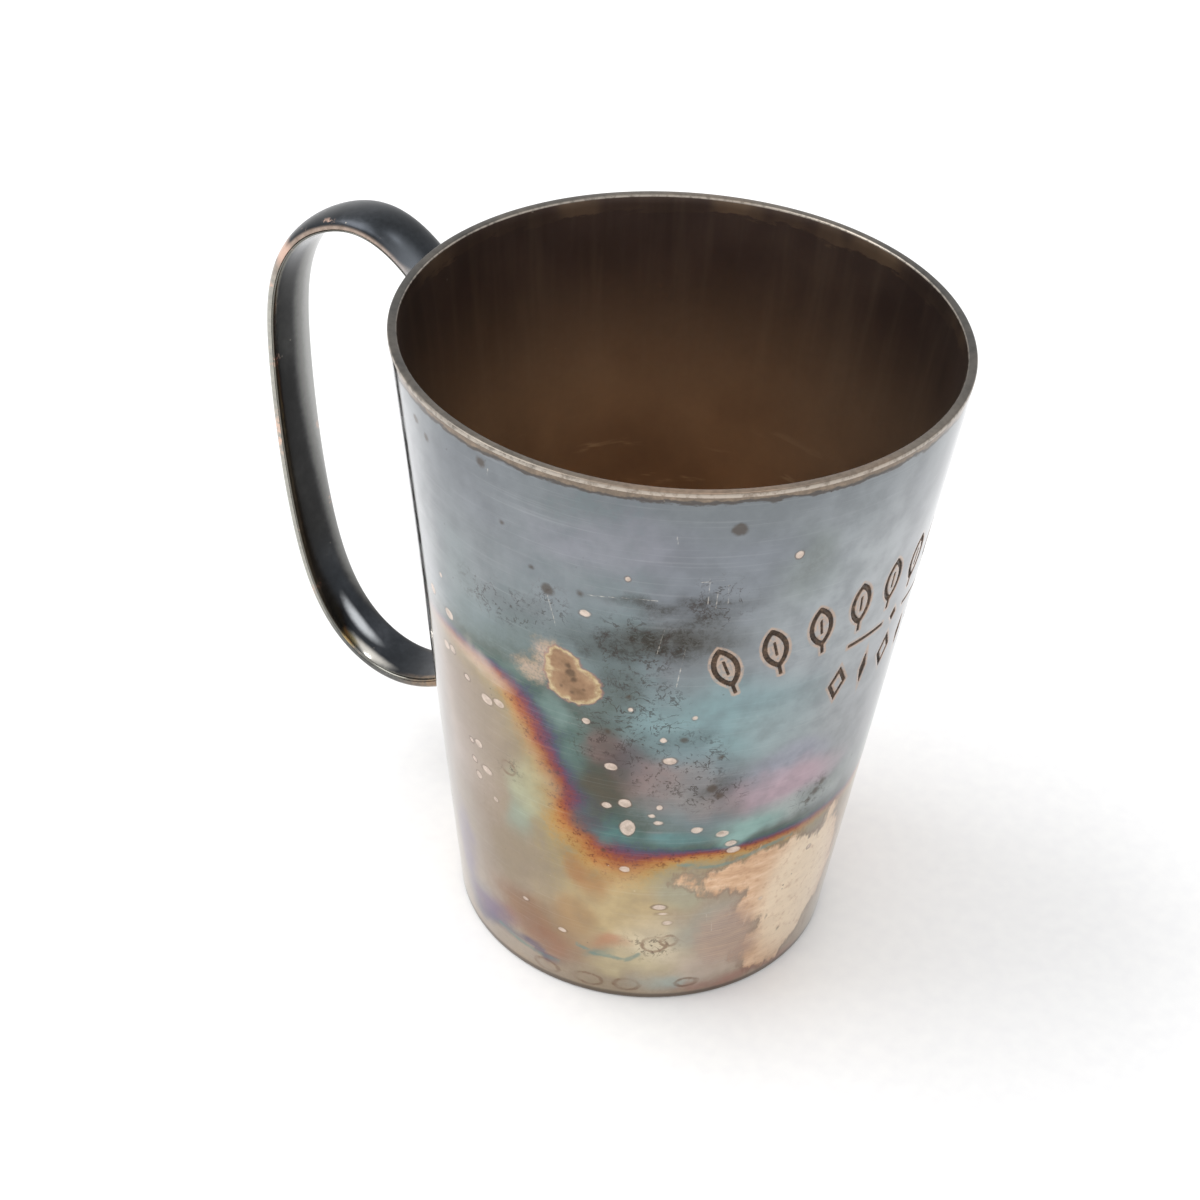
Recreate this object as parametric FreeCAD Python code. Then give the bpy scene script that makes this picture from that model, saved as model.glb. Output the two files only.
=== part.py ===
import FreeCAD, Part
import math
import os

# One-handled drinking cup given as a prize. Millimetres, +Z up, the foot rests on z = 0
# centred on the Z axis and the handle stands out along -X, opposite the engraved front (+X).

# Tapered cup wall
CUP_H = 120.0
RIM_R = 47.5
FOOT_R = 34.55
WALL_T = 1.6
LIP_BEVEL = 0.3
FOOT_BEVEL = 0.45

# Flat base, let into the foot and held by a ring of solder below it
BASE_T = 1.4
BASE_UNDER_Z = 2.6
BASE_SOLDER_LEG = 1.3
BASE_SOLDER_HOLLOW = 0.42

# Handle: a half-round hollow shell closed by a strap on the finger side
HANDLE_W = 10.6
HANDLE_T = 3.3
STRAP_T = 0.8
STRAP_CROWN = 0.15
SHELL_SIDE = 0.6
SHELL_SHEET = 0.7
SEAM_BEVEL = 0.14
HANDLE_POLES = [
    (46.4, 110.2), (56.3, 121.5), (71.9, 119.3), (82.4, 106.0), (83.6, 87.5),
    (80.0, 49.9), (71.0, 22.8), (49.6, 20.6), (38.4, 32.5),
]
HANDLE_RUN_IN = 4.0

# Solder collars where the handle meets the wall: how far they stand off it, how far they
# start inside it, and how far they spread round the handle there and at their top
COLLAR_RISE = 1.3
COLLAR_UNDERCUT = 0.6
COLLAR_UNDERCUT_SPREAD = 1.6
COLLAR_TOP_SPREAD = 0.02
COLLAR_CORNER = 0.55

# Engraved ornament: an arch of laurel leaves over a divided rule and a row of lozenges
CUT_DEPTH = 0.25
LEAF_COUNT = 10
LEAF_PITCH_DEG = 10.4
ARCH_TOP_Z = 91.0
ARCH_DROP = 7.0
LEAF_L = 9.4
LEAF_W = 4.6
LEAF_LINE = 0.95
LEAF_HOLLOW = 0.72
STALK_LINE = 0.7
STALK_L = 2.4
STALK_DROP = 0.4
VEIN_LINE = 0.56
VEIN_SHARE = 0.36
ARCH_R = 44.0
RULE_Z = 81.2
RULE_LINE = 0.8
RULE_FROM_DEG = 4.6
RULE_TO_DEG = 16.6
LOZENGE_Z = 73.4
LOZENGE_L = 7.8
LOZENGE_W = 4.2
LOZENGE_LINE = 0.95
LOZENGE_NARROW = 0.42
LOZENGE_PITCH_DEG = 8.6
LOZENGES_EACH_SIDE = 2
DOT_L = 3.0
DOT_W = 1.95
CUTTER_ROOT = 2.0
CUTTER_T = 4.0

V = FreeCAD.Vector
UP = V(0, 0, 1)
ORIGIN = V(0, 0, 0)


def wall_radius(z):
    """Outer radius of the wall at height z."""
    return FOOT_R + (RIM_R - FOOT_R) * z / CUP_H


def revolve(points):
    """Solid of revolution about Z from (radius, height) points."""
    corners = [V(r, 0, z) for r, z in points]
    face = Part.Face(Part.makePolygon(corners + corners[:1]))
    return face.revolve(ORIGIN, UP, 360)


def cone_band(inset, z0, z1, outset):
    """Ring that follows the wall's taper, from inset inside its outside face to outset beyond it."""
    r0 = wall_radius(z0)
    r1 = wall_radius(z1)
    return revolve([(r0 - inset, z0), (r0 + outset, z0), (r1 + outset, z1), (r1 - inset, z1)])


def wall_core(z1):
    """Everything within the wall's outside face up to z1."""
    return Part.makeCone(wall_radius(0), wall_radius(z1), z1)


# ---- engraved ornament ----

def on_wall(deg, z):
    """Placement on the wall at an azimuth and height: local X along the girth, Y up, Z outwards."""
    a = math.radians(deg)
    out = V(math.cos(a), math.sin(a), 0)
    girth = V(-math.sin(a), math.cos(a), 0)
    turn = FreeCAD.Rotation(girth, UP, out, "ZXY")
    return FreeCAD.Placement(out * (wall_radius(z) - CUTTER_ROOT) + UP * z, turn)


def lens(length, width):
    """Pointed leaf outline of two arcs, tip up."""
    tip = V(0, length / 2, 0)
    foot = V(0, -length / 2, 0)
    right = Part.Arc(foot, V(width / 2, 0, 0), tip).toShape()
    left = Part.Arc(tip, V(-width / 2, 0, 0), foot).toShape()
    return Part.Wire([right, left])


def diamond(length, width):
    """Lozenge outline, tip up."""
    corners = [V(0, length / 2, 0), V(-width / 2, 0, 0), V(0, -length / 2, 0), V(width / 2, 0, 0)]
    return Part.makePolygon(corners + corners[:1])


def bar(length, width, y=0.0):
    """Upright bar outline centred at height y."""
    corners = [
        V(-width / 2, y - length / 2, 0), V(width / 2, y - length / 2, 0),
        V(width / 2, y + length / 2, 0), V(-width / 2, y + length / 2, 0),
    ]
    return Part.makePolygon(corners + corners[:1])


def prism(outline):
    """Cutter with this outline, standing on the plane it is drawn in."""
    return Part.Face(outline).extrude(V(0, 0, CUTTER_T))


def leaf_cutter():
    """Leaf outline with a short vein inside it."""
    shrink = 2 * LEAF_LINE
    inner = lens(LEAF_L - shrink * LEAF_L / LEAF_W * LEAF_HOLLOW, LEAF_W - shrink)
    ring = prism(lens(LEAF_L, LEAF_W)).cut(prism(inner))
    stalk = prism(bar(STALK_L, STALK_LINE, -LEAF_L / 2 - STALK_DROP))
    vein = prism(bar(LEAF_L * VEIN_SHARE, VEIN_LINE))
    return Part.makeCompound([ring.fuse(stalk), vein])


def lozenge_cutter(index):
    """Outlined lozenges with narrow solid ones between them."""
    if index % 2:
        return prism(diamond(LOZENGE_L, LOZENGE_W * LOZENGE_NARROW))
    shrink = 2 * LOZENGE_LINE
    inner = diamond(LOZENGE_L - shrink * LOZENGE_L / LOZENGE_W, LOZENGE_W - shrink)
    return prism(diamond(LOZENGE_L, LOZENGE_W)).cut(prism(inner))


def placed(shape, placement, lean_deg=0.0):
    """Copy of shape leant about its own outward axis, then set on the wall."""
    copy = shape.copy()
    copy.Placement = placement.multiply(FreeCAD.Placement(V(), FreeCAD.Rotation(V(0, 0, 1), lean_deg)))
    return copy


def ornament_cutters():
    """Every cutter of the ornament: leaves, lozenges, the divided rule and its middle lozenge."""
    cutters = []
    half = (LEAF_COUNT - 1) / 2
    leaf = leaf_cutter()
    for i in range(LEAF_COUNT):
        k = i - half
        z = ARCH_TOP_Z - ARCH_DROP * (k / half) ** 2
        slope = 2 * ARCH_DROP * k / half ** 2 / (math.radians(LEAF_PITCH_DEG) * ARCH_R)
        lean = -math.degrees(math.atan(slope))
        cutters.append(placed(leaf, on_wall(k * LEAF_PITCH_DEG, z), lean))
    for k in range(-LOZENGES_EACH_SIDE, LOZENGES_EACH_SIDE + 1):
        cutter = lozenge_cutter(k + LOZENGES_EACH_SIDE)
        cutters.append(placed(cutter, on_wall(k * LOZENGE_PITCH_DEG, LOZENGE_Z)))
    for side in (-1, 1):
        middle = side * (RULE_FROM_DEG + RULE_TO_DEG) / 2
        length = math.radians(RULE_TO_DEG - RULE_FROM_DEG) * wall_radius(RULE_Z)
        rule = prism(bar(length, RULE_LINE))
        cutters.append(placed(rule, on_wall(middle, RULE_Z), 90))
    cutters.append(placed(prism(diamond(DOT_L, DOT_W)), on_wall(0, RULE_Z)))
    return Part.makeCompound(cutters)


# ---- cup ----

def body_wall():
    """Tapered wall with a flat lip and foot, and the ornament cut into its front."""
    inner_top = RIM_R - WALL_T
    inner_foot = FOOT_R - WALL_T
    profile = [
        (inner_foot + LIP_BEVEL, 0),
        (FOOT_R - FOOT_BEVEL, 0),
        (wall_radius(FOOT_BEVEL), FOOT_BEVEL),
        (wall_radius(CUP_H - LIP_BEVEL), CUP_H - LIP_BEVEL),
        (RIM_R - LIP_BEVEL, CUP_H),
        (inner_top + LIP_BEVEL, CUP_H),
        (wall_radius(CUP_H - LIP_BEVEL) - WALL_T, CUP_H - LIP_BEVEL),
        (wall_radius(LIP_BEVEL) - WALL_T, LIP_BEVEL),
    ]
    skin = cone_band(CUT_DEPTH, LOZENGE_Z - LOZENGE_L, ARCH_TOP_Z + LEAF_L, CUTTER_T)
    return revolve(profile).cut(ornament_cutters().common(skin))


def base_disc():
    """Flat base whose edge follows the inside of the wall."""
    top = BASE_UNDER_Z + BASE_T
    return revolve([
        (0, BASE_UNDER_Z),
        (wall_radius(BASE_UNDER_Z) - WALL_T, BASE_UNDER_Z),
        (wall_radius(top) - WALL_T, top),
        (0, top),
    ])


def base_solder_ring():
    """Ring of solder in the corner under the base."""
    z = BASE_UNDER_Z
    low = z - BASE_SOLDER_LEG
    wall = wall_radius(z) - WALL_T
    return revolve([
        (wall, z),
        (wall - BASE_SOLDER_LEG, z),
        (wall - BASE_SOLDER_HOLLOW * BASE_SOLDER_LEG, z - BASE_SOLDER_HOLLOW * BASE_SOLDER_LEG),
        (wall_radius(low) - WALL_T, low),
    ])


# ---- handle ----

def handle_spine():
    """Handle centre line, run a little way into the wall at both ends."""
    curve = Part.BSplineCurve()
    poles = [V(-r, 0, z) for r, z in HANDLE_POLES]
    spans = len(poles) - 3
    curve.buildFromPolesMultsKnots(
        poles, [4] + [1] * (spans - 1) + [4], [i / spans for i in range(spans + 1)], False, 3
    )
    start = poles[0] - (poles[1] - poles[0]).normalize() * HANDLE_RUN_IN
    end = poles[-1] + (poles[-1] - poles[-2]).normalize() * HANDLE_RUN_IN
    lead = Part.makeLine(start, poles[0])
    tail = Part.makeLine(poles[-1], end)
    return Part.Wire([lead, curve.toShape(), tail])


def section(points_and_arcs):
    """Closed wire in the plane square to the spine's start, from lines and three-point arcs."""
    first = V(-HANDLE_POLES[0][0], 0, HANDLE_POLES[0][1])
    second = V(-HANDLE_POLES[1][0], 0, HANDLE_POLES[1][1])
    along = (second - first).normalize()
    outward = V(0, 1, 0).cross(along)
    if outward.z < 0:
        outward = outward * -1
    start = first - along * HANDLE_RUN_IN

    def at(point):
        return start + V(0, point[0], 0) + outward * point[1]

    edges = []
    for piece in points_and_arcs:
        if len(piece) == 2:
            edges.append(Part.makeLine(at(piece[0]), at(piece[1])))
        else:
            edges.append(Part.Arc(at(piece[0]), at(piece[1]), at(piece[2])).toShape())
    return Part.Wire(edges)


def sweep(spine, wire):
    """Solid swept along the spine, its width kept along Y."""
    pipe = Part.BRepOffsetAPI.MakePipeShell(spine)
    pipe.setBiNormalMode(V(0, 1, 0))
    pipe.add(wire, False, False)
    pipe.build()
    pipe.makeSolid()
    return pipe.shape()


HALF_W = HANDLE_W / 2
FINGER_V = -HANDLE_T / 2
SEAM_V = FINGER_V + STRAP_T
SHOULDER_V = SEAM_V + SHELL_SIDE
CROWN = HANDLE_T - STRAP_T - SHELL_SIDE


def half_ellipse(half_w, base, rise):
    """Three arcs close to a half ellipse, from its left foot over the top to its right foot."""
    def at(deg):
        a = math.radians(deg)
        return (half_w * math.cos(a), base + rise * math.sin(a))

    return [[at(180), at(158), at(135)], [at(135), at(90), at(45)], [at(45), at(22), at(0)]]


def finger_side(half_w):
    """Shallow arcs across the strap's finger side, from its right edge to its left."""
    side = FINGER_V + STRAP_CROWN
    right = (half_w, side)
    left = (-half_w, side)
    return [[right, (0, FINGER_V), left]]


def shell_section():
    """C-shaped section: short square sides and a crowned back, open towards the strap."""
    w = HALF_W
    b = SEAM_BEVEL
    inner = w - SHELL_SHEET
    hollow = half_ellipse(inner, SHOULDER_V, CROWN - SHELL_SHEET)
    return section([
        [(-inner, SEAM_V), (-w + b, SEAM_V)],
        [(-w + b, SEAM_V), (-w, SEAM_V + b)],
        [(-w, SEAM_V + b), (-w, SHOULDER_V)],
        *half_ellipse(w, SHOULDER_V, CROWN),
        [(w, SHOULDER_V), (w, SEAM_V + b)],
        [(w, SEAM_V + b), (w - b, SEAM_V)],
        [(w - b, SEAM_V), (inner, SEAM_V)],
        [(inner, SEAM_V), (inner, SHOULDER_V)],
        *[arc[::-1] for arc in reversed(hollow)],
        [(-inner, SHOULDER_V), (-inner, SEAM_V)],
    ])


def strap_section():
    """Strap slightly crowned towards the fingers, with its seam edges eased."""
    w = HALF_W
    b = SEAM_BEVEL
    side = FINGER_V + STRAP_CROWN
    return section([
        [(-w + b, SEAM_V), (w - b, SEAM_V)],
        [(w - b, SEAM_V), (w, SEAM_V - b)],
        [(w, SEAM_V - b), (w, side)],
        *finger_side(w),
        [(-w, side), (-w, SEAM_V - b)],
        [(-w, SEAM_V - b), (-w + b, SEAM_V)],
    ])


def handle_outline_section():
    """Outside of shell and strap together, used to trim the solder collars."""
    w = HALF_W
    side = FINGER_V + STRAP_CROWN
    return section([
        [(-w, side), (-w, SHOULDER_V)],
        *half_ellipse(w, SHOULDER_V, CROWN),
        [(w, SHOULDER_V), (w, side)],
        *finger_side(w),
    ])


def collar(near, far, outline):
    """Sloping fillet of solder round one end of the handle; near and far are spine points."""
    root = V(-near[0], 0, near[1])
    tip = V(-far[0], 0, far[1])
    along = (tip - root).normalize()
    lean = math.atan((RIM_R - FOOT_R) / CUP_H)
    normal = V(-math.cos(lean), 0, -math.sin(lean))
    rise = V(-math.sin(lean), 0, math.cos(lean))
    slant = along.dot(normal)

    def ring(depth, spread):
        """Octagon round the handle in a plane level with the wall, depth outside it."""
        middle = root + along * (depth / slant)
        half_y = HALF_W + spread
        half_z = HANDLE_T / 2 / slant + spread
        corner = min(half_y, half_z) * COLLAR_CORNER
        corners = []
        for sy, sz in ((1, 1), (-1, 1), (-1, -1), (1, -1)):
            side = middle + V(0, sy * half_y, 0) + rise * (sz * (half_z - corner))
            end = middle + V(0, sy * (half_y - corner), 0) + rise * (sz * half_z)
            corners += [side, end] if sy == sz else [end, side]
        return Part.makePolygon(corners + corners[:1])

    sloping = [ring(-COLLAR_UNDERCUT, COLLAR_UNDERCUT_SPREAD), ring(COLLAR_RISE, COLLAR_TOP_SPREAD)]
    return Part.makeLoft(sloping, True, True).cut(outline).cut(wall_core(CUP_H))


def main():
    os.makedirs("parts", exist_ok=True)
    spine = handle_spine()
    core = wall_core(CUP_H)
    outline = sweep(spine, handle_outline_section())
    nodes = {
        "body_wall": body_wall(),
        "base_disc": base_disc(),
        "base_solder_ring": base_solder_ring(),
        "handle_outer_shell": sweep(spine, shell_section()).cut(core),
        "handle_inner_strap": sweep(spine, strap_section()).cut(core),
        "handle_upper_solder": collar(HANDLE_POLES[0], HANDLE_POLES[1], outline),
        "handle_lower_solder": collar(HANDLE_POLES[-1], HANDLE_POLES[-2], outline),
    }
    for name, shape in nodes.items():
        solid = shape.Solids[0]
        print(name, len(shape.Solids), "solid,", round(solid.Volume, 1), "mm3, valid:", solid.isValid())
        solid.exportStep("parts/" + name + ".step")


main()
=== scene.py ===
import math

import bpy
import numpy as np
from mathutils import Matrix, Vector, noise


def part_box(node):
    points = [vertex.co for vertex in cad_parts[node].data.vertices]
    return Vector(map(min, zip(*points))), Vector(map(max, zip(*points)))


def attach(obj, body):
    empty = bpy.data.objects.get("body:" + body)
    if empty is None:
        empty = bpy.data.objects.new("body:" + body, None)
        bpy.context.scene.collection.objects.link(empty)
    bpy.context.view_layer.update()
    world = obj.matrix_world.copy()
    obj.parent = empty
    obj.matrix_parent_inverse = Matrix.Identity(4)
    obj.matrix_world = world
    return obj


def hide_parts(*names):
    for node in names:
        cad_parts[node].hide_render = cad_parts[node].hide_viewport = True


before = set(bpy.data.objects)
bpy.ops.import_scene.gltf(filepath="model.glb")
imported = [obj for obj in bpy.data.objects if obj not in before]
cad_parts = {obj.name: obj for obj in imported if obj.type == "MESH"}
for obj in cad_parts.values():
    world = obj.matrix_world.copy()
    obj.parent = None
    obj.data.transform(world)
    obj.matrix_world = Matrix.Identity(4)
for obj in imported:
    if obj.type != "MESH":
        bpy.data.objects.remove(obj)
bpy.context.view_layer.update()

# A one-handled silver-plated cup, tarnished outside and browned inside. Metres, in the
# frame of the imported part. Sizes below are in millimetres and are turned into metres by MM.
MM = 0.001
# A distance that stands for far from any mark, in millimetres
FAR = 9.0

# ---- driving sizes, in millimetres ----
WALL_HIGH = Vector(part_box("body_wall")[1]) / MM
DISC_LOW, DISC_HIGH = (Vector(corner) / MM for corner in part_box("base_disc"))
STRAP_HIGH = Vector(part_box("handle_inner_strap")[1]) / MM
CUP_H = WALL_HIGH.z
RIM_R = WALL_HIGH.x
FOOT_R = 34.55
GIRTH_R = 41.0
WALL_T = 1.6
LIP_ROUND = 0.42
FOOT_ROUND = 0.45
MOUTH_BULGE = 0.22
MOUTH_BULGE_DEG = -146.0
MOUTH_WAVE = 0.05
HALF_W = STRAP_HIGH.y
HANDLE_T = 3.3
STRAP_T = 0.8
SHELL_SIDE = 0.6
SHELL_SHEET = 0.7
SEAM_EASE = 0.16
# Poles of the handle's middle line, as radius and height, the same as the part's
HANDLE_POLES = [
    (46.4, 110.2), (56.3, 121.5), (71.9, 119.3), (82.4, 106.0), (83.6, 87.5),
    (80.0, 49.9), (71.0, 22.8), (49.6, 20.6), (38.4, 32.5),
]

# ---- engraved ornament, as in the part and cut a little deeper ----
CUT_DEPTH = 0.27
LEAF_COUNT = 10
LEAF_PITCH_DEG = 10.4
ARCH_TOP_Z = 91.0
ARCH_DROP = 7.0
LEAF_L = 9.4
LEAF_W = 4.6
LEAF_LINE = 0.95
LEAF_INNER = 0.72
STALK_L = 2.4
STALK_DROP = 0.4
STALK_LINE = 0.7
VEIN_SHARE = 0.36
VEIN_LINE = 0.56
ARCH_R = 44.0
RULE_Z = 81.2
RULE_LINE = 0.8
RULE_FROM_DEG = 4.6
RULE_TO_DEG = 16.6
LOZENGE_Z = 73.4
LOZENGE_L = 7.8
LOZENGE_W = 4.2
LOZENGE_LINE = 0.95
LOZENGE_PITCH_DEG = 8.6
LOZENGE_NARROW = 0.42
LOZENGES_EACH_SIDE = 2
DOT_L = 3.0
DOT_W = 1.95


def wall_radius(z):
    """Outer radius of the tapered wall at height z."""
    return FOOT_R + (RIM_R - FOOT_R) * z / CUP_H


def girth(az, az0, z0):
    """Distance round the wall from azimuth az0, the shorter way, at height z0."""
    return np.radians((az - az0 + 180) % 360 - 180) * wall_radius(z0)


def smooth(x, low, high):
    """0 below low, 1 above high, with an eased step between."""
    t = np.clip((x - low) / (high - low), 0.0, 1.0)
    return t * t * (3 - 2 * t)


def linear(srgb):
    """Display colour, 0 to 255, as scene-linear numbers."""
    c = np.asarray(srgb, float) / 255.0
    return np.where(c <= 0.04045, c / 12.92, ((c + 0.055) / 1.055) ** 2.4)


def colour(r, g, b):
    """Display colour, 0 to 255, as a node's constant."""
    return (*linear((r, g, b)), 1.0)


def rough_noise(az, z, scale, seed, octaves=4):
    """Fractal noise in about -1..1 at points on the wall, scale in millimetres."""
    r = wall_radius(z)
    a = np.radians(az)
    points = np.stack([r * np.cos(a), r * np.sin(a), z], -1) / scale + seed * 17.3
    flat = points.reshape(-1, 3)
    values = [noise.fractal(p, 0.9, 2.1, octaves) for p in flat]
    return np.array(values).reshape(az.shape)


# ---- node graphs ----

class Graph:
    """Short calls for building a material's nodes. A tone is a node's output or three display
    values; base is the colour laid down so far."""

    def __init__(self, name):
        self.material = bpy.data.materials.new(name)
        self.material.use_nodes = True
        self.tree = self.material.node_tree
        self.tree.nodes.clear()
        self.base = None

    def feed(self, socket, value):
        """Links a node's output to a socket, or sets the socket's constant."""
        if isinstance(value, bpy.types.NodeSocket):
            self.tree.links.new(value, socket)
        else:
            socket.default_value = value

    def add(self, kind, inputs=(), **settings):
        node = self.tree.nodes.new(kind)
        for key, value in settings.items():
            setattr(node, key, value)
        for key, value in dict(inputs).items():
            self.feed(node.inputs[key], value)
        return node

    def field(self, name):
        """A number stored on the mesh."""
        return self.add("ShaderNodeAttribute", attribute_name=name).outputs["Fac"]

    def paint(self, name):
        """A colour and its strength stored on the mesh."""
        node = self.add("ShaderNodeAttribute", attribute_name=name)
        return node.outputs["Color"], node.outputs["Alpha"]

    def place(self, size, source="Object", turn=0.0):
        """Coordinates divided by a feature size in millimetres, one for all axes or one each."""
        sizes = size if isinstance(size, tuple) else (size, size, size)
        if source == "Object":
            where = self.add("ShaderNodeTexCoord").outputs["Object"]
            unit = 1 / MM
        else:
            where = self.add("ShaderNodeUVMap", uv_map=source).outputs["UV"]
            unit = 1.0
        scale = tuple(unit / s for s in sizes)
        inputs = {"Vector": where, "Scale": scale, "Rotation": (0, 0, turn)}
        return self.add("ShaderNodeMapping", inputs).outputs["Vector"]

    def noise(self, size, detail, rough, seed, source="Object", turn=0.0, twist=0.0):
        inputs = {"Vector": self.place(size, source, turn), "W": seed, "Scale": 1.0, "Detail": detail}
        inputs.update({"Roughness": rough, "Distortion": twist})
        return self.add("ShaderNodeTexNoise", inputs, noise_dimensions="4D").outputs["Fac"]

    def cells(self, size):
        """Distance to the nearest of scattered points."""
        inputs = {"Vector": self.place(size), "Scale": 1.0, "Randomness": 1.0}
        return self.add("ShaderNodeTexVoronoi", inputs).outputs["Distance"]

    def math(self, operation, a, b=0.0, clamp=False):
        inputs = {0: a, 1: b}
        return self.add("ShaderNodeMath", inputs, operation=operation, use_clamp=clamp).outputs[0]

    def plus(self, a, b):
        return self.math("ADD", a, b)

    def times(self, first, *others):
        for other in others:
            first = self.math("MULTIPLY", first, other)
        return first

    def about(self, cloud, reach):
        """A noise moved to lie about zero and stretched to a reach."""
        return self.times(self.math("SUBTRACT", cloud, 0.5), reach)

    def step(self, value, low, high, start=0.0, end=1.0):
        """start below low, end above high, eased between."""
        inputs = {"Value": value, "From Min": low, "From Max": high, "To Min": start, "To Max": end}
        node = self.add("ShaderNodeMapRange", inputs, interpolation_type="SMOOTHSTEP")
        return node.outputs["Result"]

    def ramp(self, fac, *stops):
        """Tone by a number; a stop is its position and three display values."""
        node = self.add("ShaderNodeValToRGB", {"Fac": fac})
        marks = node.color_ramp.elements
        while len(marks) < len(stops):
            marks.new(0.5)
        for mark, (position, *tone) in zip(marks, stops):
            mark.position = position
            mark.color = colour(*tone)
        return node.outputs["Color"]

    def mix(self, fac, a, b, blend="MIX"):
        """Tone b over tone a by the share fac."""
        node = self.add("ShaderNodeMix", data_type="RGBA", blend_type=blend)
        node.clamp_factor = True
        for index, value in ((0, fac), (6, a), (7, b)):
            self.feed(node.inputs[index], colour(*value) if isinstance(value, tuple) else value)
        return node.outputs[2]

    def lay(self, cover, tone, share=1.0, blend="MIX"):
        """Lays a tone over the base where cover is 1, thinned by share."""
        if share != 1.0:
            cover = self.times(cover, share)
        self.base = self.mix(cover, self.base, tone, blend)

    def scatter(self, size, dot, area, seed, few, tone, share):
        """Lays dots: their spacing, their distances from nothing to full, the size and seed of
        the areas that have them, and the noise levels at which an area starts and is full."""
        here = self.step(self.noise(area, 2, 0.5, seed), *few)
        self.lay(self.times(self.step(self.cells(size), *dot), here), tone, share)

    def bump(self, height, strength, distance=0.02, onto=None):
        inputs = {"Height": height, "Strength": strength, "Distance": distance * MM}
        if onto is not None:
            inputs["Normal"] = onto
        return self.add("ShaderNodeBump", inputs).outputs["Normal"]

    def metal(self, roughness, normal=None, metallic=1.0):
        """Ends the graph in one shader of the base tone."""
        inputs = {"Base Color": self.base, "Roughness": roughness, "Metallic": metallic}
        if normal is not None:
            inputs["Normal"] = normal
        shader = self.add("ShaderNodeBsdfPrincipled", inputs)
        out = self.add("ShaderNodeOutputMaterial")
        self.tree.links.new(shader.outputs["BSDF"], out.inputs["Surface"])
        return self.material


# ---- engraving, as signed distances in millimetres, below zero inside a cut ----

def lens_distance(x, y, length, width):
    """Distance to a pointed leaf outline of two arcs."""
    radius = (length ** 2 / 4 + width ** 2 / 4) / width
    shift = radius - width / 2
    return np.hypot(np.abs(x) + shift, y) - radius


def bar_distance(x, y, length, width):
    dx = np.abs(x) - width / 2
    dy = np.abs(y) - length / 2
    outside = np.hypot(np.maximum(dx, 0), np.maximum(dy, 0))
    return outside + np.minimum(np.maximum(dx, dy), 0)


def diamond_distance(x, y, length, width):
    a, b = width / 2, length / 2
    return (np.abs(x) * b + np.abs(y) * a - a * b) / math.hypot(a, b)


def leaf_distance(x, y):
    """Leaf outline, its stalk and a short vein."""
    shrink = 2 * LEAF_LINE
    inner = lens_distance(x, y, LEAF_L - shrink * LEAF_L / LEAF_W * LEAF_INNER, LEAF_W - shrink)
    ring = np.maximum(lens_distance(x, y, LEAF_L, LEAF_W), -inner)
    stalk = bar_distance(x, y + LEAF_L / 2 + STALK_DROP, STALK_L, STALK_LINE)
    vein = bar_distance(x, y, LEAF_L * VEIN_SHARE, VEIN_LINE)
    return np.minimum(np.minimum(ring, stalk), vein)


def lozenge_distance(x, y, index):
    """Outlined lozenges with narrow solid ones between them."""
    if index % 2:
        return diamond_distance(x, y, LOZENGE_L, LOZENGE_W * LOZENGE_NARROW)
    shrink = 2 * LOZENGE_LINE
    inner = diamond_distance(x, y, LOZENGE_L - shrink * LOZENGE_L / LOZENGE_W, LOZENGE_W - shrink)
    return np.maximum(diamond_distance(x, y, LOZENGE_L, LOZENGE_W), -inner)


def on_wall(az, z, az0, z0, lean=0.0):
    """Girth and height from a point on the wall, turned by lean about the outward axis."""
    x = girth(az, az0, z0)
    y = z - z0
    c, s = math.cos(lean), math.sin(lean)
    return x * c + y * s, y * c - x * s


def engraving_distance(az, z):
    """Distance to the nearest cut of the whole ornament."""
    nearest = np.full(az.shape, FAR)
    half = (LEAF_COUNT - 1) / 2
    for i in range(LEAF_COUNT):
        k = i - half
        slope = 2 * ARCH_DROP * k / half ** 2 / (math.radians(LEAF_PITCH_DEG) * ARCH_R)
        height = ARCH_TOP_Z - ARCH_DROP * (k / half) ** 2
        x, y = on_wall(az, z, k * LEAF_PITCH_DEG, height, -math.atan(slope))
        nearest = np.minimum(nearest, leaf_distance(x, y))
    for k in range(-LOZENGES_EACH_SIDE, LOZENGES_EACH_SIDE + 1):
        x, y = on_wall(az, z, k * LOZENGE_PITCH_DEG, LOZENGE_Z)
        nearest = np.minimum(nearest, lozenge_distance(x, y, k + LOZENGES_EACH_SIDE))
    rule_l = math.radians(RULE_TO_DEG - RULE_FROM_DEG) * wall_radius(RULE_Z)
    for side in (-1, 1):
        x, y = on_wall(az, z, side * (RULE_FROM_DEG + RULE_TO_DEG) / 2, RULE_Z)
        nearest = np.minimum(nearest, bar_distance(x, y, RULE_LINE, rule_l))
    x, y = on_wall(az, z, 0.0, RULE_Z)
    return np.minimum(nearest, diamond_distance(x, y, DOT_L, DOT_W))


# ---- layout of the tarnish on the wall: azimuth in degrees, height in millimetres ----

# Where the thick blue film above meets the thin straw film below
FILM_EDGE = [
    (-180, 66), (-150, 72), (-132, 74), (-118, 74.5), (-108, 74.4), (-99, 73.6), (-92.6, 71),
    (-88, 66.5), (-83.4, 60), (-79.8, 53), (-75.8, 47), (-70.8, 42.6), (-66.2, 40.2), (-62, 39.5),
    (-54, 40.0), (-30, 40.2), (0, 40), (20, 41.5), (34, 45.5), (48, 52.5), (60, 58), (71, 60),
    (82, 58.5), (93, 53), (104, 48), (116, 45.5), (128, 46.5), (142, 51.5), (158, 60), (170, 64), (180, 66),
]
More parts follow.
